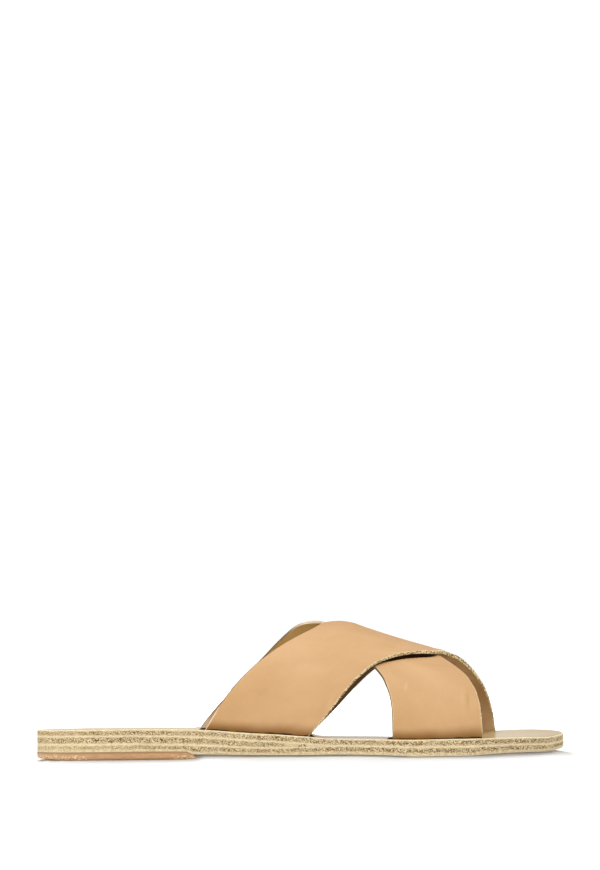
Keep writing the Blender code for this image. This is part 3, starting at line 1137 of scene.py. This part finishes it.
@dataclass
class Layer:
    """One layer of the stacked sole."""

    last: Last
    name: str
    node: str
    slot: str
    under: Level
    top: Level
    front: float
    rows: int
    under_round: float
    top_round: float
    materials: Dressing
    rake: float = 0.0
    columns: int = 13
    wall_steps: int = 7
    round_steps: int = 4
    usual_thickness: float = 3.8
    fibre_shift: float = 0.0
    fibre_relief: float = 0.07
    fibre_waves: Waves = (0.9, 1.5, 0.5)
    trim_relief: float = 0.12
    trim_waves: Waves = (0.06, 0.2, 0.02)
    under_height: float = 0.0
    slit_lines: tuple[float, float] = (4.1, 6.9)
    slit_spare: float = 3.0
    slit_lip: float = 0.35
    slit_pucker: float = 0.0
    far_pucker: float = 0.5
    slit_taper: float = 0.0
    taper_run: float = 3.0
    pucker_rise: float = 1.5
    pucker_run: float = 5.0
    back_round: float = 1.0
    back_run: float = 22.0
    narrow: float = 34.0

    def stations(self, rake: float) -> Array:
        """Space out the rows, closer together at a rounded end.

        Args:
            rake: How far the front is drawn back at this level.

        Returns:
            Stations from the heel to the layer's front.
        """
        half = self.last.half
        if self.front >= half:
            return -half * np.cos(math.pi * (np.arange(self.rows) + 0.5) / self.rows)
        front = self.front - rake
        share = np.cos(math.pi / 2.0 * (np.arange(self.rows) + 0.5) / (self.rows - 0.5))
        return front - (front + half) * share

    def profile(self) -> list[tuple[float, float]]:
        """Work out the wall's levels, with its rounded corners.

        Returns:
            Pairs of a level's share of the height and its inset from the rim.
        """
        rounding = np.linspace(0.0, math.pi / 2.0, self.round_steps)
        lower = [(1.0 - math.cos(a), self.under_round * (1.0 - math.sin(a))) for a in rounding]
        upper = [(1.0 - math.cos(a), self.top_round * (1.0 - math.sin(a))) for a in rounding]
        steps = [(share, 0.0) for share in np.linspace(0.0, 1.0, self.wall_steps + 2)[1:-1]]
        low = max(self.under_round, self.under_height) / self.usual_thickness
        high = self.top_round / self.usual_thickness
        return (
            [(share * low, inset) for share, inset in lower]
            + [(low + share * (1.0 - low - high), inset) for share, inset in steps]
            + [(1.0 - share * high, inset) for share, inset in reversed(upper)]
        )

    def grid(self, x: Array, inset: float) -> Array:
        """Lay out the plan, with columns along the rim and along both lines of each slit.

        Args:
            x: Stations.
            inset: How far the plan is drawn in from the rim, more at the back.

        Returns:
            Points of two coordinates by row and column.
        """
        back = smooth_step((self.back_run - self.last.half - x) / self.back_run)[:, None]
        inset = inset * (1.0 + (self.back_round - 1.0) * back)
        sides = []
        for side in Side:
            rim = np.stack((x, self.last.rim_y(x, np.full_like(x, side.value))), axis=-1)
            along = np.gradient(rim, axis=0)
            along /= np.linalg.norm(along, axis=-1, keepdims=True)
            inward = np.stack((along[:, 1], -along[:, 0]), axis=-1) * side.value
            sides.append(rim + inward * inset)
        width = np.linalg.norm(sides[1] - sides[0], axis=-1)
        shrink = np.minimum(width / self.narrow, 1.0)[:, None]
        lines = np.concatenate(([0.0], self.slit_lines))[None, :] * shrink
        lines = lines / np.maximum(width, TINY)[:, None]
        inner = np.linspace(0.0, 1.0, self.columns - 2 * len(self.slit_lines))[None, 1:-1]
        middle = lines[:, 2:] + (1.0 - 2.0 * lines[:, 2:]) * inner
        shares = np.concatenate((lines, middle, 1.0 - lines[:, ::-1]), axis=1)[..., None]
        return sides[0][:, None] * (1.0 - shares) + sides[1][:, None] * shares

    def run(self, x: Array) -> Array:
        """Measure along the rim.

        Args:
            x: Stations.

        Returns:
            Length of the rim from the heel's tip, by row and column.
        """
        runs = []
        for side in Side:
            y = self.last.rim_y(x, np.full_like(x, side.value))
            runs.append(np.concatenate(([0.0], np.cumsum(np.hypot(np.diff(x), np.diff(y))))))
        shares = np.linspace(0.0, 1.0, self.columns)[None, :]
        return runs[0][:, None] * (1.0 - shares) + runs[1][:, None] * shares

    def build(self) -> Slab:
        """Make the layer's mesh, with a slightly rough wall.

        Returns:
            The closed mesh.
        """
        points, places = [], []
        for share, inset in self.profile():
            x = self.stations(self.rake * share)
            plan = self.grid(x, inset)
            low, high = self.under(plan[..., 0], plan[..., 1]), self.top(plan[..., 0], plan[..., 1])
            points.append(np.concatenate((plan, (low + (high - low) * share)[..., None]), axis=-1))
            run = self.run(x) + self.fibre_shift
            places.append(np.stack((run, np.full_like(run, share * EDGE_DEPTH), plan[..., 1]), axis=-1))
        points, places = np.array(points), np.array(places)
        self.roughen(points, places)
        self.pucker(points, places)
        slab = Slab(self.name, points)
        slab.note(EDGE_PLACE, places)
        return slab

    def slit_ends(self, band: Band, side: Side) -> tuple[float, float]:
        """Return the stations of a slit's rear and front end."""
        rear, front = (float(self.last.at(f"{band.value}_{end}", side.turn)) for end in ("rear", "front"))
        return rear - self.slit_spare, front + self.slit_spare

    def slit_columns(self, side: Side) -> tuple[int, int]:
        """Return the columns of a slit's outer and inner line."""
        return (1, 2) if side is Side.LATERAL else (self.columns - 2, self.columns - 3)

    def pucker(self, points: Array, places: Array) -> None:
        """Narrow both ends of each slit, and raise the footbed's lip a little there.

        The lip is lower on the medial side, and lies flat at the front of the under strap's lateral foot.

        Args:
            points: Places by level, row and column, which are changed.
            places: Run, depth and Y of the same vertices, the depth telling the share of the rise.
        """
        for band, side in itertools.product(Band, Side):
            outer, inner = self.slit_columns(side)
            share = places[:, :, inner, 1] / EDGE_DEPTH
            for end, inward in zip(self.slit_ends(band, side), (1.0, -1.0)):
                within = (points[:, :, inner, 0] - end) * inward
                close = self.slit_taper * smooth_step(1.0 - np.abs(within) / self.taper_run)[..., None]
                points[:, :, inner, :2] += close * (points[:, :, outer, :2] - points[:, :, inner, :2])
                if (band, side, inward) == (Band.UNDER, Side.LATERAL, -1.0):
                    continue
                height = self.slit_pucker * (1.0 if side is Side.LATERAL else self.far_pucker)
                near = smooth_step(within / self.pucker_rise) * smooth_step(2.0 - within / self.pucker_run)
                points[:, :, inner, 2] += height * near * share

    def roughen(self, points: Array, places: Array) -> None:
        """Push the wall in and out by the fibres and by the hand that trimmed it.

        Args:
            points: Places by level, row and column, which are changed.
            places: Run, depth and Y of the same vertices.
        """
        for column, side in zip((0, self.columns - 1), Side):
            wall = points[1:-1, :, column]
            along = np.gradient(wall[..., :2], axis=1)
            along /= np.maximum(np.linalg.norm(along, axis=-1, keepdims=True), TINY)
            outward = np.stack((-along[..., 1], along[..., 0]), axis=-1) * side.value
            place = places[1:-1, :, column]
            push = self.fibre_relief * fuzz(place, self.fibre_waves, Seed.WALL_FIBRES)
            push += self.trim_relief * fuzz(place, self.trim_waves, Seed.WALL_TRIM) - self.trim_relief
            wall[..., :2] += outward * push[..., None]

    def slits(self, slab: Slab) -> None:
        """Cut the four slits of the straps, on the column lines beside the rim.

        Args:
            slab: The layer's mesh, which is changed.
        """
        x = self.stations(0.0)
        for band, side in itertools.product(Band, Side):
            first, last = (int(row) for row in np.searchsorted(x, self.slit_ends(band, side)))
            outer, inner = self.slit_columns(side)
            slab.cut_slot((first, last), (min(outer, inner), max(outer, inner)), self.slit_lip)


@dataclass
class Sole:
    """Stacked leather sole: heel lift, outsole, heel wedge and insole."""

    last: Last
    joint: float = 0.02
    lift_front: float = -49.3
    lift_rake: float = 1.2
    lift_back_round: float = 4.0
    lift_round_height: float = 1.2
    lift_wear: float = 0.7
    lift_wear_from: float = -104.0
    wedge_front: float = 13.0
    slit_pucker: float = 1.0
    slit_taper: float = 0.55
    rows: int = 560
    short_rows: int = 300
    sole_face: FootbedLeather = FootbedLeather("sole_face", (0.52, 0.39, 0.235), (0.6, 0.47, 0.30))
    footbed: FootbedLeather = FootbedLeather("footbed", roughness=0.24, specular=0.5, grain_depth=0.01)

    def cut(
        self, name: str, middle: float, half: float, share: float = 1.0, **more: float | Range
    ) -> Material:
        """Make the finish of one layer's cut edge.

        Args:
            name: Name of the material.
            middle: Height of the row of fibres' middle, as a share of the edge.
            half: Half of the row's height.
            share: Strength of the row.
            more: Other values of the finish.

        Returns:
            The material.
        """
        return CutLeather(
            name, EDGE_DEPTH, SOLE_PALE, SOLE_DARK, SOLE_FIBRE, SOLE_BRIGHT,
            row_middle=middle, row_half=half, row_share=share, **more,
        ).material()

    def dressing(self, upper: Material, cut: Material, lower: Material) -> Dressing:
        """Return the materials of a layer by kind of face."""
        return {Face.UPPER: upper, Face.CUT: cut, Face.LOWER: lower}

    def lift_under(self, x: Array, y: Array) -> Array:
        """Find the height of the lift's underside, worn away at the back.

        Args:
            x: Stations.
            y: Places across the sole.

        Returns:
            The height at each place.
        """
        worn = np.clip((self.lift_wear_from - x) / (self.last.half + self.lift_wear_from), 0.0, 1.0)
        return self.lift_wear * worn**2 + 0.0 * y

    def raised(self, level: Level, by: float) -> Level:
        """Return a level moved up by a constant."""
        return lambda x, y: level(x, y) + by

    def layers(self) -> list[Layer]:
        """Set out the layers.

        Returns:
            The layers from the ground up.
        """
        last, gap, whole = self.last, self.joint, self.last.half
        face = self.sole_face.material()
        lift_edge, top = LiftLeather().material(), self.footbed.material()
        outsole_edge = self.cut("outsole_edge", 0.6, 0.29, 0.95, heel_share=0.6)
        wedge_edge = self.cut("wedge_edge", 0.53, 0.38, row_end=-4.0, specks=(-1.7, 2.7))
        insole_edge = self.cut("insole_edge", 0.5, 0.36)
        return [
            Layer(
                last, "lift_leather", "heel_lift", "lift_leather",
                under=self.lift_under, top=self.raised(last.outsole_under, -gap),
                front=self.lift_front, rows=self.short_rows, under_round=0.6, top_round=0.15,
                materials=self.dressing(face, lift_edge, face), rake=self.lift_rake,
                back_round=self.lift_back_round, under_height=self.lift_round_height,
            ),
            Layer(
                last, "outsole_leather", "outsole", "outsole_leather",
                under=last.outsole_under, top=self.raised(last.outsole_joint, -gap),
                front=whole, rows=self.rows, under_round=0.3, top_round=0.1,
                materials=self.dressing(face, outsole_edge, face),
            ),
            Layer(
                last, "wedge_leather", "heel_wedge", "wedge_leather",
                under=self.raised(last.outsole_joint, gap), top=self.raised(last.insole_joint, -gap),
                front=self.wedge_front, rows=self.short_rows, under_round=0.1, top_round=0.1,
                materials=self.dressing(face, wedge_edge, face), fibre_shift=311.3,
            ),
            Layer(
                last, "insole_leather", "insole", "insole_leather",
                under=self.raised(last.insole_joint, gap), top=last.insole_top,
                front=whole, rows=self.rows, under_round=0.1, top_round=0.7,
                materials=self.dressing(top, insole_edge, face) | {Face.SLIT: SlitLeather().material()},
                slit_pucker=self.slit_pucker, slit_taper=self.slit_taper, fibre_shift=727.9,
            ),
        ]

    def build(self) -> list[bpy.types.Object]:
        """Make every layer.

        Returns:
            The finished pieces.
        """
        pieces = []
        for layer in self.layers():
            slab = layer.build()
            if layer.node == "insole":
                layer.slits(slab)
            pieces.append(slab.finish("root", layer.node, layer.slot, layer.materials))
        return pieces


CREASES: tuple[Crease, ...] = (
    Crease(Band.UNDER, 79.2, 0.17, 8.0, 1.2, 0.0, -0.13),
    Crease(Band.UNDER, 77.0, 0.17, 8.0, 1.6, 0.0, 0.1),
    Crease(Band.UNDER, 50.2, 0.188, 2.8, 0.8, 6.0, 0.16),
    Crease(Band.UNDER, 66.0, 0.33, 8.0, 2.0, 70.0, -0.06),
    Crease(Band.OVER, 13.6, 0.093, 7.0, 1.6, 22.0, 0.12),
    Crease(Band.OVER, 10.8, 0.09, 7.0, 1.8, 22.0, -0.06),
    Crease(Band.OVER, 43.5, 0.352, 5.5, 1.1, 80.0, -0.09),
    Crease(Band.OVER, 46.0, 0.334, 4.5, 1.0, 76.0, -0.06),
    Crease(Band.OVER, 41.0, 0.368, 5.0, 1.3, 84.0, -0.05),
    Crease(Band.OVER, -18.0, 0.12, 6.0, 1.8, 40.0, -0.06),
)


@dataclass
class Strap:
    """One strap: a band of the last's surface between two edges, with its feet down in the slits."""

    last: Last
    band: Band
    thickness: float = 1.84
    rows: int = 200
    columns: int = 50
    edge_round: float = 0.45
    edge_thinning: float = 0.18
    thinning_run: float = 1.6
    edge_wave: float = 0.16
    edge_waves: Waves = (0.11, 1.0, 1.0)
    hide_relief: float = 0.05
    hide_waves: Waves = (0.035, 0.03, 1.0)
    relief_fade: float = 0.05
    relief_depth: float = 0.25
    skive: float = 0.25
    skive_run: float = 3.0
    dark_above: float = 8.0
    dark_beside: float = 6.0
    dark_run: float = 6.0
    dark_rim: float = 3.0
    shade_rear: float = 0.85
    shade_front: float = 1.3
    crossing_fall: float = 14.0
    rear_fall: float = 1.4
    crossing_gap: float = 0.03
    crossing_shade: float = 4.0
    flare_rise: float = 2.7
    flare_run: float = 9.0
    flare_turn: float = 0.56
    flare_span: float = 0.25
    flare_tuck: float = 4.0
    lip_run: float = 6.5
    lip: tuple[LipRow, ...] = (
        LipRow(0.2, 0.0),
        LipRow(0.28, 0.35),
        LipRow(0.36, 1.1),
        LipRow(0.43, 0.4),
        LipRow(0.54, 1.8),
        LipRow(0.62, 1.4),
        LipRow(0.72, 0.8),
        LipRow(0.85, 0.3),
        LipRow(1.0, 0.0),
    )
    dip_depth: float = 1.8
    dip_turn: float = 0.345
    dip_span: float = 0.1
    dip_run: float = 12.0
    dip_recovery: float = 2.4
    foot_gap: float = 0.15
    arch_length: float = 150.0
    profile: tuple[WallRow, ...] = (
        WallRow(0.0, 1.0),
        WallRow(0.04, 0.42),
        WallRow(0.14, 0.1),
        WallRow(0.3, 0.0),
        WallRow(0.5, 0.0),
        WallRow(0.7, 0.0),
        WallRow(0.86, 0.1),
        WallRow(0.96, 0.42),
        WallRow(1.0, 1.0),
    )

    def edge(self, end: str, turn: Array) -> Array:
        """Find one edge, cut by hand and so a little wavy.

        Args:
            end: Which edge, rear or front.
            turn: Turns.

        Returns:
            The edge's station at each turn.
        """
        place = np.stack((turn * self.arch_length, 0.0 * turn, 0.0 * turn), axis=-1)
        seed = Seed.REAR_EDGE if end == "rear" else Seed.FRONT_EDGE
        station = self.last.at(f"{self.band.value}_{end}", turn)
        return station + self.edge_wave * fuzz(place, self.edge_waves, seed)

    def near_loop(self, x: Array, turn: Array, run: float) -> Array:
        """Return 1 at the top of the loop's rear edge, and 0 at a run before it or down its sides."""
        near_edge = smooth_step(1.0 - (x - self.last.at("under_rear", turn)) / run)
        return near_edge * smooth_step(1.0 - np.abs(turn - self.flare_turn) / self.flare_span)

    def flare(self, x: Array, turn: Array) -> Array:
        """Return how far the under strap's rear edge springs up at the crossing, as a loop."""
        held = smooth_step((x - self.last.at("over_rear", turn)) / self.flare_tuck + 1.0)
        return self.flare_rise * self.near_loop(x, turn, self.flare_run) * (1.0 - held)

    def near_lip(self, x: Array, turn: Array, behind: float, before: float) -> Array:
        """Return 1 at the over strap's front edge, and 0 at a run behind it or before it."""
        off = x - self.last.at("over_front", turn)
        return smooth_step(1.0 - np.where(off < 0.0, -off / behind, off / before))

    def raise_off(self, x: Array, turn: Array) -> Array:
        """Find how far the strap's inner side stands off the last.

        Args:
            x: Stations.
            turn: Turns.

        Returns:
            The distance at each place.
        """
        if self.band is Band.UNDER:
            dip = self.dip_depth * self.near_lip(x, turn, self.dip_run, self.dip_recovery)
            low = smooth_step(1.0 - np.abs(turn - self.dip_turn) / self.dip_span)
            return self.flare(x, turn) - dip * low
        rear, front = self.last.at("over_rear", turn), self.last.at("over_front", turn)
        fall = self.crossing_fall * (1.0 + self.rear_fall * np.clip((front - x) / (front - rear), 0.0, 1.0))
        behind = smooth_step((x - self.last.at("under_rear", turn)) / fall + 1.0)
        before = smooth_step((self.last.at("under_front", turn) - x) / self.crossing_fall + 1.0)
        lip = Curve(self.lip, "rise")(turn) * self.near_lip(x, turn, self.lip_run, self.lip_run)
        return (self.thickness + self.crossing_gap) * behind * before + lip

    def creases(self, x: Array, turn: Array) -> Array:
        """Add up the troughs and ridges.

        Args:
            x: Stations.
            turn: Turns.

        Returns:
            Their height at each place.
        """
        over = turn * self.arch_length
        height = 0.0 * x
        for crease in CREASES:
            if crease.band is not self.band:
                continue
            lean = math.radians(crease.lean_deg)
            dx, dy = x - crease.x, over - crease.turn * self.arch_length
            along = dx * math.sin(lean) + dy * math.cos(lean)
            across = dx * math.cos(lean) - dy * math.sin(lean)
            fade = np.exp(-((along / crease.reach) ** 2) - (across / crease.width) ** 2)
            height = height + crease.height * fade
        return height

    def relief(self, x: Array, turn: Array) -> Array:
        """Add the slow unevenness of a bent hide to the creases, both fading at the feet.

        Args:
            x: Stations.
            turn: Turns.

        Returns:
            The height at each place.
        """
        place = np.stack((x, turn * self.arch_length, 0.0 * x), axis=-1)
        seed = Seed.OVER_HIDE if self.band is Band.OVER else Seed.UNDER_HIDE
        uneven = self.hide_relief * fuzz(place, self.hide_waves, seed)
        away = smooth_step(np.minimum(turn, 1.0 - turn) / self.relief_fade)
        return (uneven + self.creases(x, turn)) * away

    def thinned(self, x: Array, turn: Array) -> Array:
        """Return how much the loop's rear edge is skived on its inner side."""
        return self.skive * self.near_loop(x, turn, self.skive_run) * (self.band is Band.UNDER)

    def edge_shade(self, points: Array) -> Array:
        """Find where the rear cut edge is dark: above the over strap's foot, and beside the loop's top.

        Args:
            points: Places, with a last axis of three.

        Returns:
            Strength from 0 to 1 at each place.
        """
        x, y, z = np.moveaxis(points, -1, 0)
        past = np.abs(y - self.last.crest_y) - self.dark_beside
        if self.band is Band.OVER:
            past = z - self.last.insole_top(x, y) - self.dark_above
        return smooth_step(past / self.dark_run)

    def bare(self, points: Array, turn: Array) -> Array:
        """Find how far the leather has come out of its slit, or from under the other strap.

        Args:
            points: Places, with a last axis of three.
            turn: Turn of each place.

        Returns:
            The distance at each place, stretched for the softer shade at the crossing.
        """
        x, y, z = np.moveaxis(points, -1, 0)
        share = np.linspace(self.shade_rear, self.shade_front, self.columns)
        height = (z - self.last.insole_top(x, y)) / share
        if self.band is Band.OVER:
            return height
        before = x - self.last.at("over_front", turn)
        behind = self.last.at("over_rear", turn) - x
        return np.minimum(height, self.crossing_shade * np.maximum(before, behind))

    def level(self, row: WallRow, rear: Array, width: Array, turn: Array) -> tuple[Array, Array, Array]:
        """Work out one level of the strap's wall.

        Args:
            row: Depth and inset of the level.
            rear: Stations of the rear edge, as one column.
            width: Widths of the band, as one column.
            turn: Turns by row and column.

        Returns:
            Places, distances from the rear edge, and distances from the nearer edge.
        """
        tuck = row.inset * self.edge_round / width
        across = tuck + np.linspace(0.0, 1.0, self.columns)[None, :] * (1.0 - 2.0 * tuck)
        x = rear + width * across
        side = np.minimum(across, 1.0 - across) * width
        thin = self.edge_thinning * np.exp(-side / self.thinning_run)
        relief = self.relief(x, turn)
        if self.band is Band.OVER:
            relief = relief * smooth_step(row.depth / self.relief_depth)
        stand_off = self.raise_off(x, turn) + row.depth * (self.thickness - thin) + relief
        stand_off += (1.0 - row.depth) * self.thinned(x, turn)
        place = self.last.point(x, turn) + self.last.normal(x, turn) * stand_off[..., None]
        for foot in (0, -1):
            joint = self.last.insole_joint(place[foot, :, 0], place[foot, :, 1])
            place[foot, :, 2] = joint + self.foot_gap
        # Push the rim distance out where the rear edge is shaded, so the painted edge highlight stays off
        # it
        if self.band is Band.OVER:
            side = np.where(across < 0.5, side + self.dark_rim * self.edge_shade(place), side)
        return place, across * width, side

    def build(self) -> Slab:
        """Make the strap's mesh, with what its finishes read.

        Returns:
            The closed mesh.
        """
        turns = np.concatenate(([0.0], np.linspace(0.0, 1.0, self.rows - 2), [1.0]))
        turn = turns[:, None] * np.ones(self.columns)[None, :]
        rear, front = self.edge("rear", turns), self.edge("front", turns)
        middle = self.last.point((rear + front) / 2.0, turns)
        run = np.concatenate(([0.0], np.cumsum(np.linalg.norm(np.diff(middle, axis=0), axis=-1))))
        points, places, sides = [], [], []
        for row in self.profile:
            place, across, side = self.level(row, rear[:, None], (front - rear)[:, None], turn)
            points.append(place)
            sides.append(side)
            along, deep = np.broadcast_to(run[:, None], across.shape), np.full_like(across, row.depth)
            places.append(np.stack((along, across, deep * self.thickness), axis=-1))
        points, places = np.array(points), np.array(places)
        turn = np.broadcast_to(turn, points.shape[:3])
        slab = Slab(f"{self.band.value}_strap", points)
        slab.note(STRAP_PLACE, places)
        slab.note(EDGE_PLACE, places[..., (0, 2, 1)])
        slab.note(BARE_DISTANCE, self.bare(points, turn))
        slab.note(RIM_DISTANCE, np.array(sides))
        slab.note(EDGE_SHADE, self.edge_shade(points) * (np.arange(self.columns) == 0))
        slab.note(CREASE_HEIGHT, self.creases(points[..., 0], turn))
        return slab


@dataclass
class Upper:
    """The two straps, which stand for one joined solid."""

    last: Last
    grain: GrainLeather = GrainLeather()
    flesh: FleshLeather = FleshLeather()
    cut: CutLeather = CutLeather(
        "strap_edge", STRAP_EDGE_DEPTH, pale=(0.72, 0.53, 0.25), dark=(0.46, 0.30, 0.11),
        fibre=(0.10, 0.052, 0.012), bright=(1.0, 0.87, 0.56), row_middle=0.42, row_half=0.6, row_share=0.9,
        grit=1.7,
    )
    rear_cut: CutLeather = CutLeather(
        "strap_rear_edge", STRAP_EDGE_DEPTH, pale=(0.84, 0.65, 0.47), dark=(0.70, 0.51, 0.34),
        fibre=(0.36, 0.23, 0.13), bright=(1.0, 0.84, 0.66), row_middle=0.5, row_half=0.5, row_share=0.3,
    )

    def build(self) -> list[bpy.types.Object]:
        """Make both straps.

        Returns:
            The finished pieces.
        """
        materials = {
            Face.UPPER: self.grain.material(),
            Face.CUT: self.cut.material(),
            Face.LOWER: self.flesh.material(),
            Face.REAR_CUT: self.rear_cut.material(),
        }
        slabs = [Strap(self.last, band).build() for band in Band]
        return [slab.finish("root", "upper", "strap_leather", materials) for slab in slabs]


class Lamp(NamedTuple):
    """A softbox: where it stands in metres, its width and height, its power and what it lights."""

    name: str
    place: tuple[float, float, float]
    size: tuple[float, float]
    watts: float
    for_floor: bool


LAMPS: tuple[Lamp, ...] = (
    Lamp("floor_softbox", (-0.6, 0.9, 2.6), (4.4, 1.6), 118.0, True),
    Lamp("front_softbox", (-0.5, -1.5, 2.7), (2.6, 1.6), 51.5, False),
    Lamp("overhead_softbox", (0.0, 0.4, 2.4), (2.5, 2.5), 32.0, False),
)


@dataclass
class Studio:
    """Floor, soft light and camera."""

    last: Last
    distance: float = 7.5
    camera_x: float = 0.00174
    camera_height: float = 0.15255
    roll: float = 0.0134
    millimetres_a_pixel: float = 0.4748
    frame_height: int = 870
    sensor: float = 36.0
    clip: Range = (0.1, 100.0)
    floor_half: float = 2.0
    floor_steps: int = 240
    floor_crowding: int = 3
    floor_fall: tuple[FloorRow, ...] = (
        FloorRow(-125.0, 0.19),
        FloorRow(-60.0, 0.19),
        FloorRow(-40.0, 0.15),
        FloorRow(20.0, 0.17),
        FloorRow(45.0, 0.26),
        FloorRow(75.0, 0.28),
        FloorRow(105.0, 0.25),
        FloorRow(125.0, 0.1),
    )
    floor_drop: float = 12.0
    floor_glow: float = 0.1
    glow_from: Range = (0.2, 0.7)
    floor_margin: float = 1.0
    swell_gap: float = 0.3
    swell_limit: float = 1.7
    swell_start: float = -51.2
    swell_run: float = 2.0
    swell_lateral: float = 40.0
    swell_share: float = 0.55
    swell_medial: float = 22.0
    floor_colour: Colour = (0.84, 0.84, 0.84)
    horizon: float = 1.06
    sky: float = 0.3
    sky_from: Range = (0.1, 0.32)

    def build(self) -> None:
        """Make everything round the shoe."""
        floor = self.make_floor()
        self.make_world()
        for lamp in LAMPS:
            self.make_lamp(lamp, floor)
        self.make_camera()

    def make_floor(self) -> bpy.types.Object:
        """Make the paper floor, which falls gently away before the shoe and swells under its arch.

        Returns:
            The floor.
        """
        bm = bmesh.new()
        bmesh.ops.create_grid(bm, x_segments=self.floor_steps, y_segments=self.floor_steps, size=1.0)
        flat = np.array([vert.co[:2] for vert in bm.verts])
        x, y = (np.sign(flat) * np.abs(flat) ** self.floor_crowding * self.floor_half / MM).T
        outside = self.last.rim_y(x, np.full_like(x, Side.LATERAL.value)) - y + self.floor_margin
        slope = Curve(self.floor_fall, "slope")(x)
        z = self.floor_drop * np.expm1(-slope * np.maximum(outside, 0.0) / self.floor_drop)
        z += self.swell(x, y)
        for vert, place in zip(bm.verts, np.stack((x, y, z), axis=-1) * MM):
            vert.co = place
        mesh = bpy.data.meshes.new("floor")
        bm.to_mesh(mesh)
        bm.free()
        mesh.shade_smooth()
        mesh.materials.append(self.paper())
        floor = bpy.data.objects.new("floor", mesh)
        bpy.context.scene.collection.objects.link(floor)
        return floor

    def paper(self) -> Material:
        """Make the floor's white paper, which glows more the further it is from the shoe.

        Returns:
            The material.
        """
        graph = Graph("floor_paper", 1.0, 0.0)
        away = graph.node("ShaderNodeVectorMath", {0: graph.spot()}, operation="LENGTH").outputs["Value"]
        values = dict(zip(RANGE_INPUTS, (*self.glow_from, self.floor_glow, 1.0)))
        glow = graph.node("ShaderNodeMapRange", {"Value": away} | values).outputs["Result"]
        graph.feed(graph.shader.inputs["Base Color"], (*self.floor_colour, 1.0))
        graph.feed(graph.shader.inputs["Emission Color"], WHITE)
        graph.feed(graph.shader.inputs["Emission Strength"], glow)
        return graph.material

    def swell(self, x: Array, y: Array) -> Array:
        """Find how far the paper rises under the arch and the toe, most where the sole hides it.

        Args:
            x: Stations.
            y: Places across the floor.

        Returns:
            The rise at each place.
        """
        lateral, medial = (self.last.rim_y(x, np.full_like(x, side.value)) for side in Side)
        before = self.swell_share * smooth_step(1.0 + (y - lateral) / self.swell_lateral)
        before = before * smooth_step((x - self.swell_start) / self.swell_run - 1.0)
        under = smooth_step((y - lateral) / self.swell_run - 0.5)
        inside = (before + (1.0 - before) * under) * smooth_step((medial - y) / self.swell_medial)
        along = smooth_step((x - self.swell_start) / self.swell_run)
        room = np.clip(self.last.outsole_under(x, y) - self.swell_gap, 0.0, self.swell_limit)
        return room * inside * along * (np.abs(x) < self.last.half)

    def make_world(self) -> None:
        """White all round the horizon, and softer above."""
        world = bpy.data.worlds.new("studio")
        world.use_nodes = True
        tree = world.node_tree
        direction = tree.nodes.new("ShaderNodeTexCoord").outputs["Generated"]
        split = tree.nodes.new("ShaderNodeSeparateXYZ")
        tree.links.new(direction, split.inputs[0])
        fade = tree.nodes.new("ShaderNodeMapRange")
        fade.interpolation_type = "SMOOTHSTEP"
        for key, value in zip(RANGE_INPUTS, (*self.sky_from, self.horizon, self.sky)):
            fade.inputs[key].default_value = value
        tree.links.new(split.outputs["Z"], fade.inputs["Value"])
        tree.links.new(fade.outputs["Result"], tree.nodes["Background"].inputs["Strength"])
        tree.nodes["Background"].inputs["Color"].default_value = WHITE
        bpy.context.scene.world = world

    def make_lamp(self, lamp: Lamp, floor: bpy.types.Object) -> None:
        """Add a softbox that faces the shoe, and lights either the floor or the shoe.

        Args:
            lamp: Its place, size and power.
            floor: The floor.
        """
        light = bpy.data.lights.new(lamp.name, "AREA")
        light.shape = "RECTANGLE"
        light.size, light.size_y = lamp.size
        light.energy = lamp.watts
        made = bpy.data.objects.new(lamp.name, light)
        made.location = lamp.place
        made.rotation_euler = (-Vector(lamp.place)).to_track_quat("-Z", "Y").to_euler()
        made.visible_camera = False
        lit = bpy.data.collections.new(f"{lamp.name}_lights")
        lit.objects.link(floor)
        lit.collection_objects[0].light_linking.link_state = "INCLUDE" if lamp.for_floor else "EXCLUDE"
        made.light_linking.receiver_collection = lit
        bpy.context.scene.collection.objects.link(made)

    def make_camera(self) -> None:
        """Level camera far off on the outer side, rolled by the photo's small tilt."""
        data = bpy.data.cameras.new("camera")
        data.sensor_width = self.sensor
        data.lens = self.sensor * self.distance / (self.frame_height * self.millimetres_a_pixel * MM)
        data.clip_start, data.clip_end = self.clip
        camera = bpy.data.objects.new("camera", data)
        camera.location = (self.camera_x, -self.distance, self.camera_height)
        camera.rotation_euler = (math.pi / 2.0, self.roll, 0.0)
        bpy.context.scene.collection.objects.link(camera)
        bpy.context.scene.camera = camera
        bpy.context.scene.view_settings.view_transform = "Standard"


def main() -> None:
    """Load the frame, build each sub-assembly in order and report its pieces."""
    logging.basicConfig(level=logging.INFO, format="%(message)s")
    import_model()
    last = Last()
    for assembly in (Sole(last), Upper(last)):
        for piece in assembly.build():
            LOG.info("%s: %d faces", piece.name, len(piece.data.polygons))
    Studio(last).build()


if __name__ == "__main__":
    main()
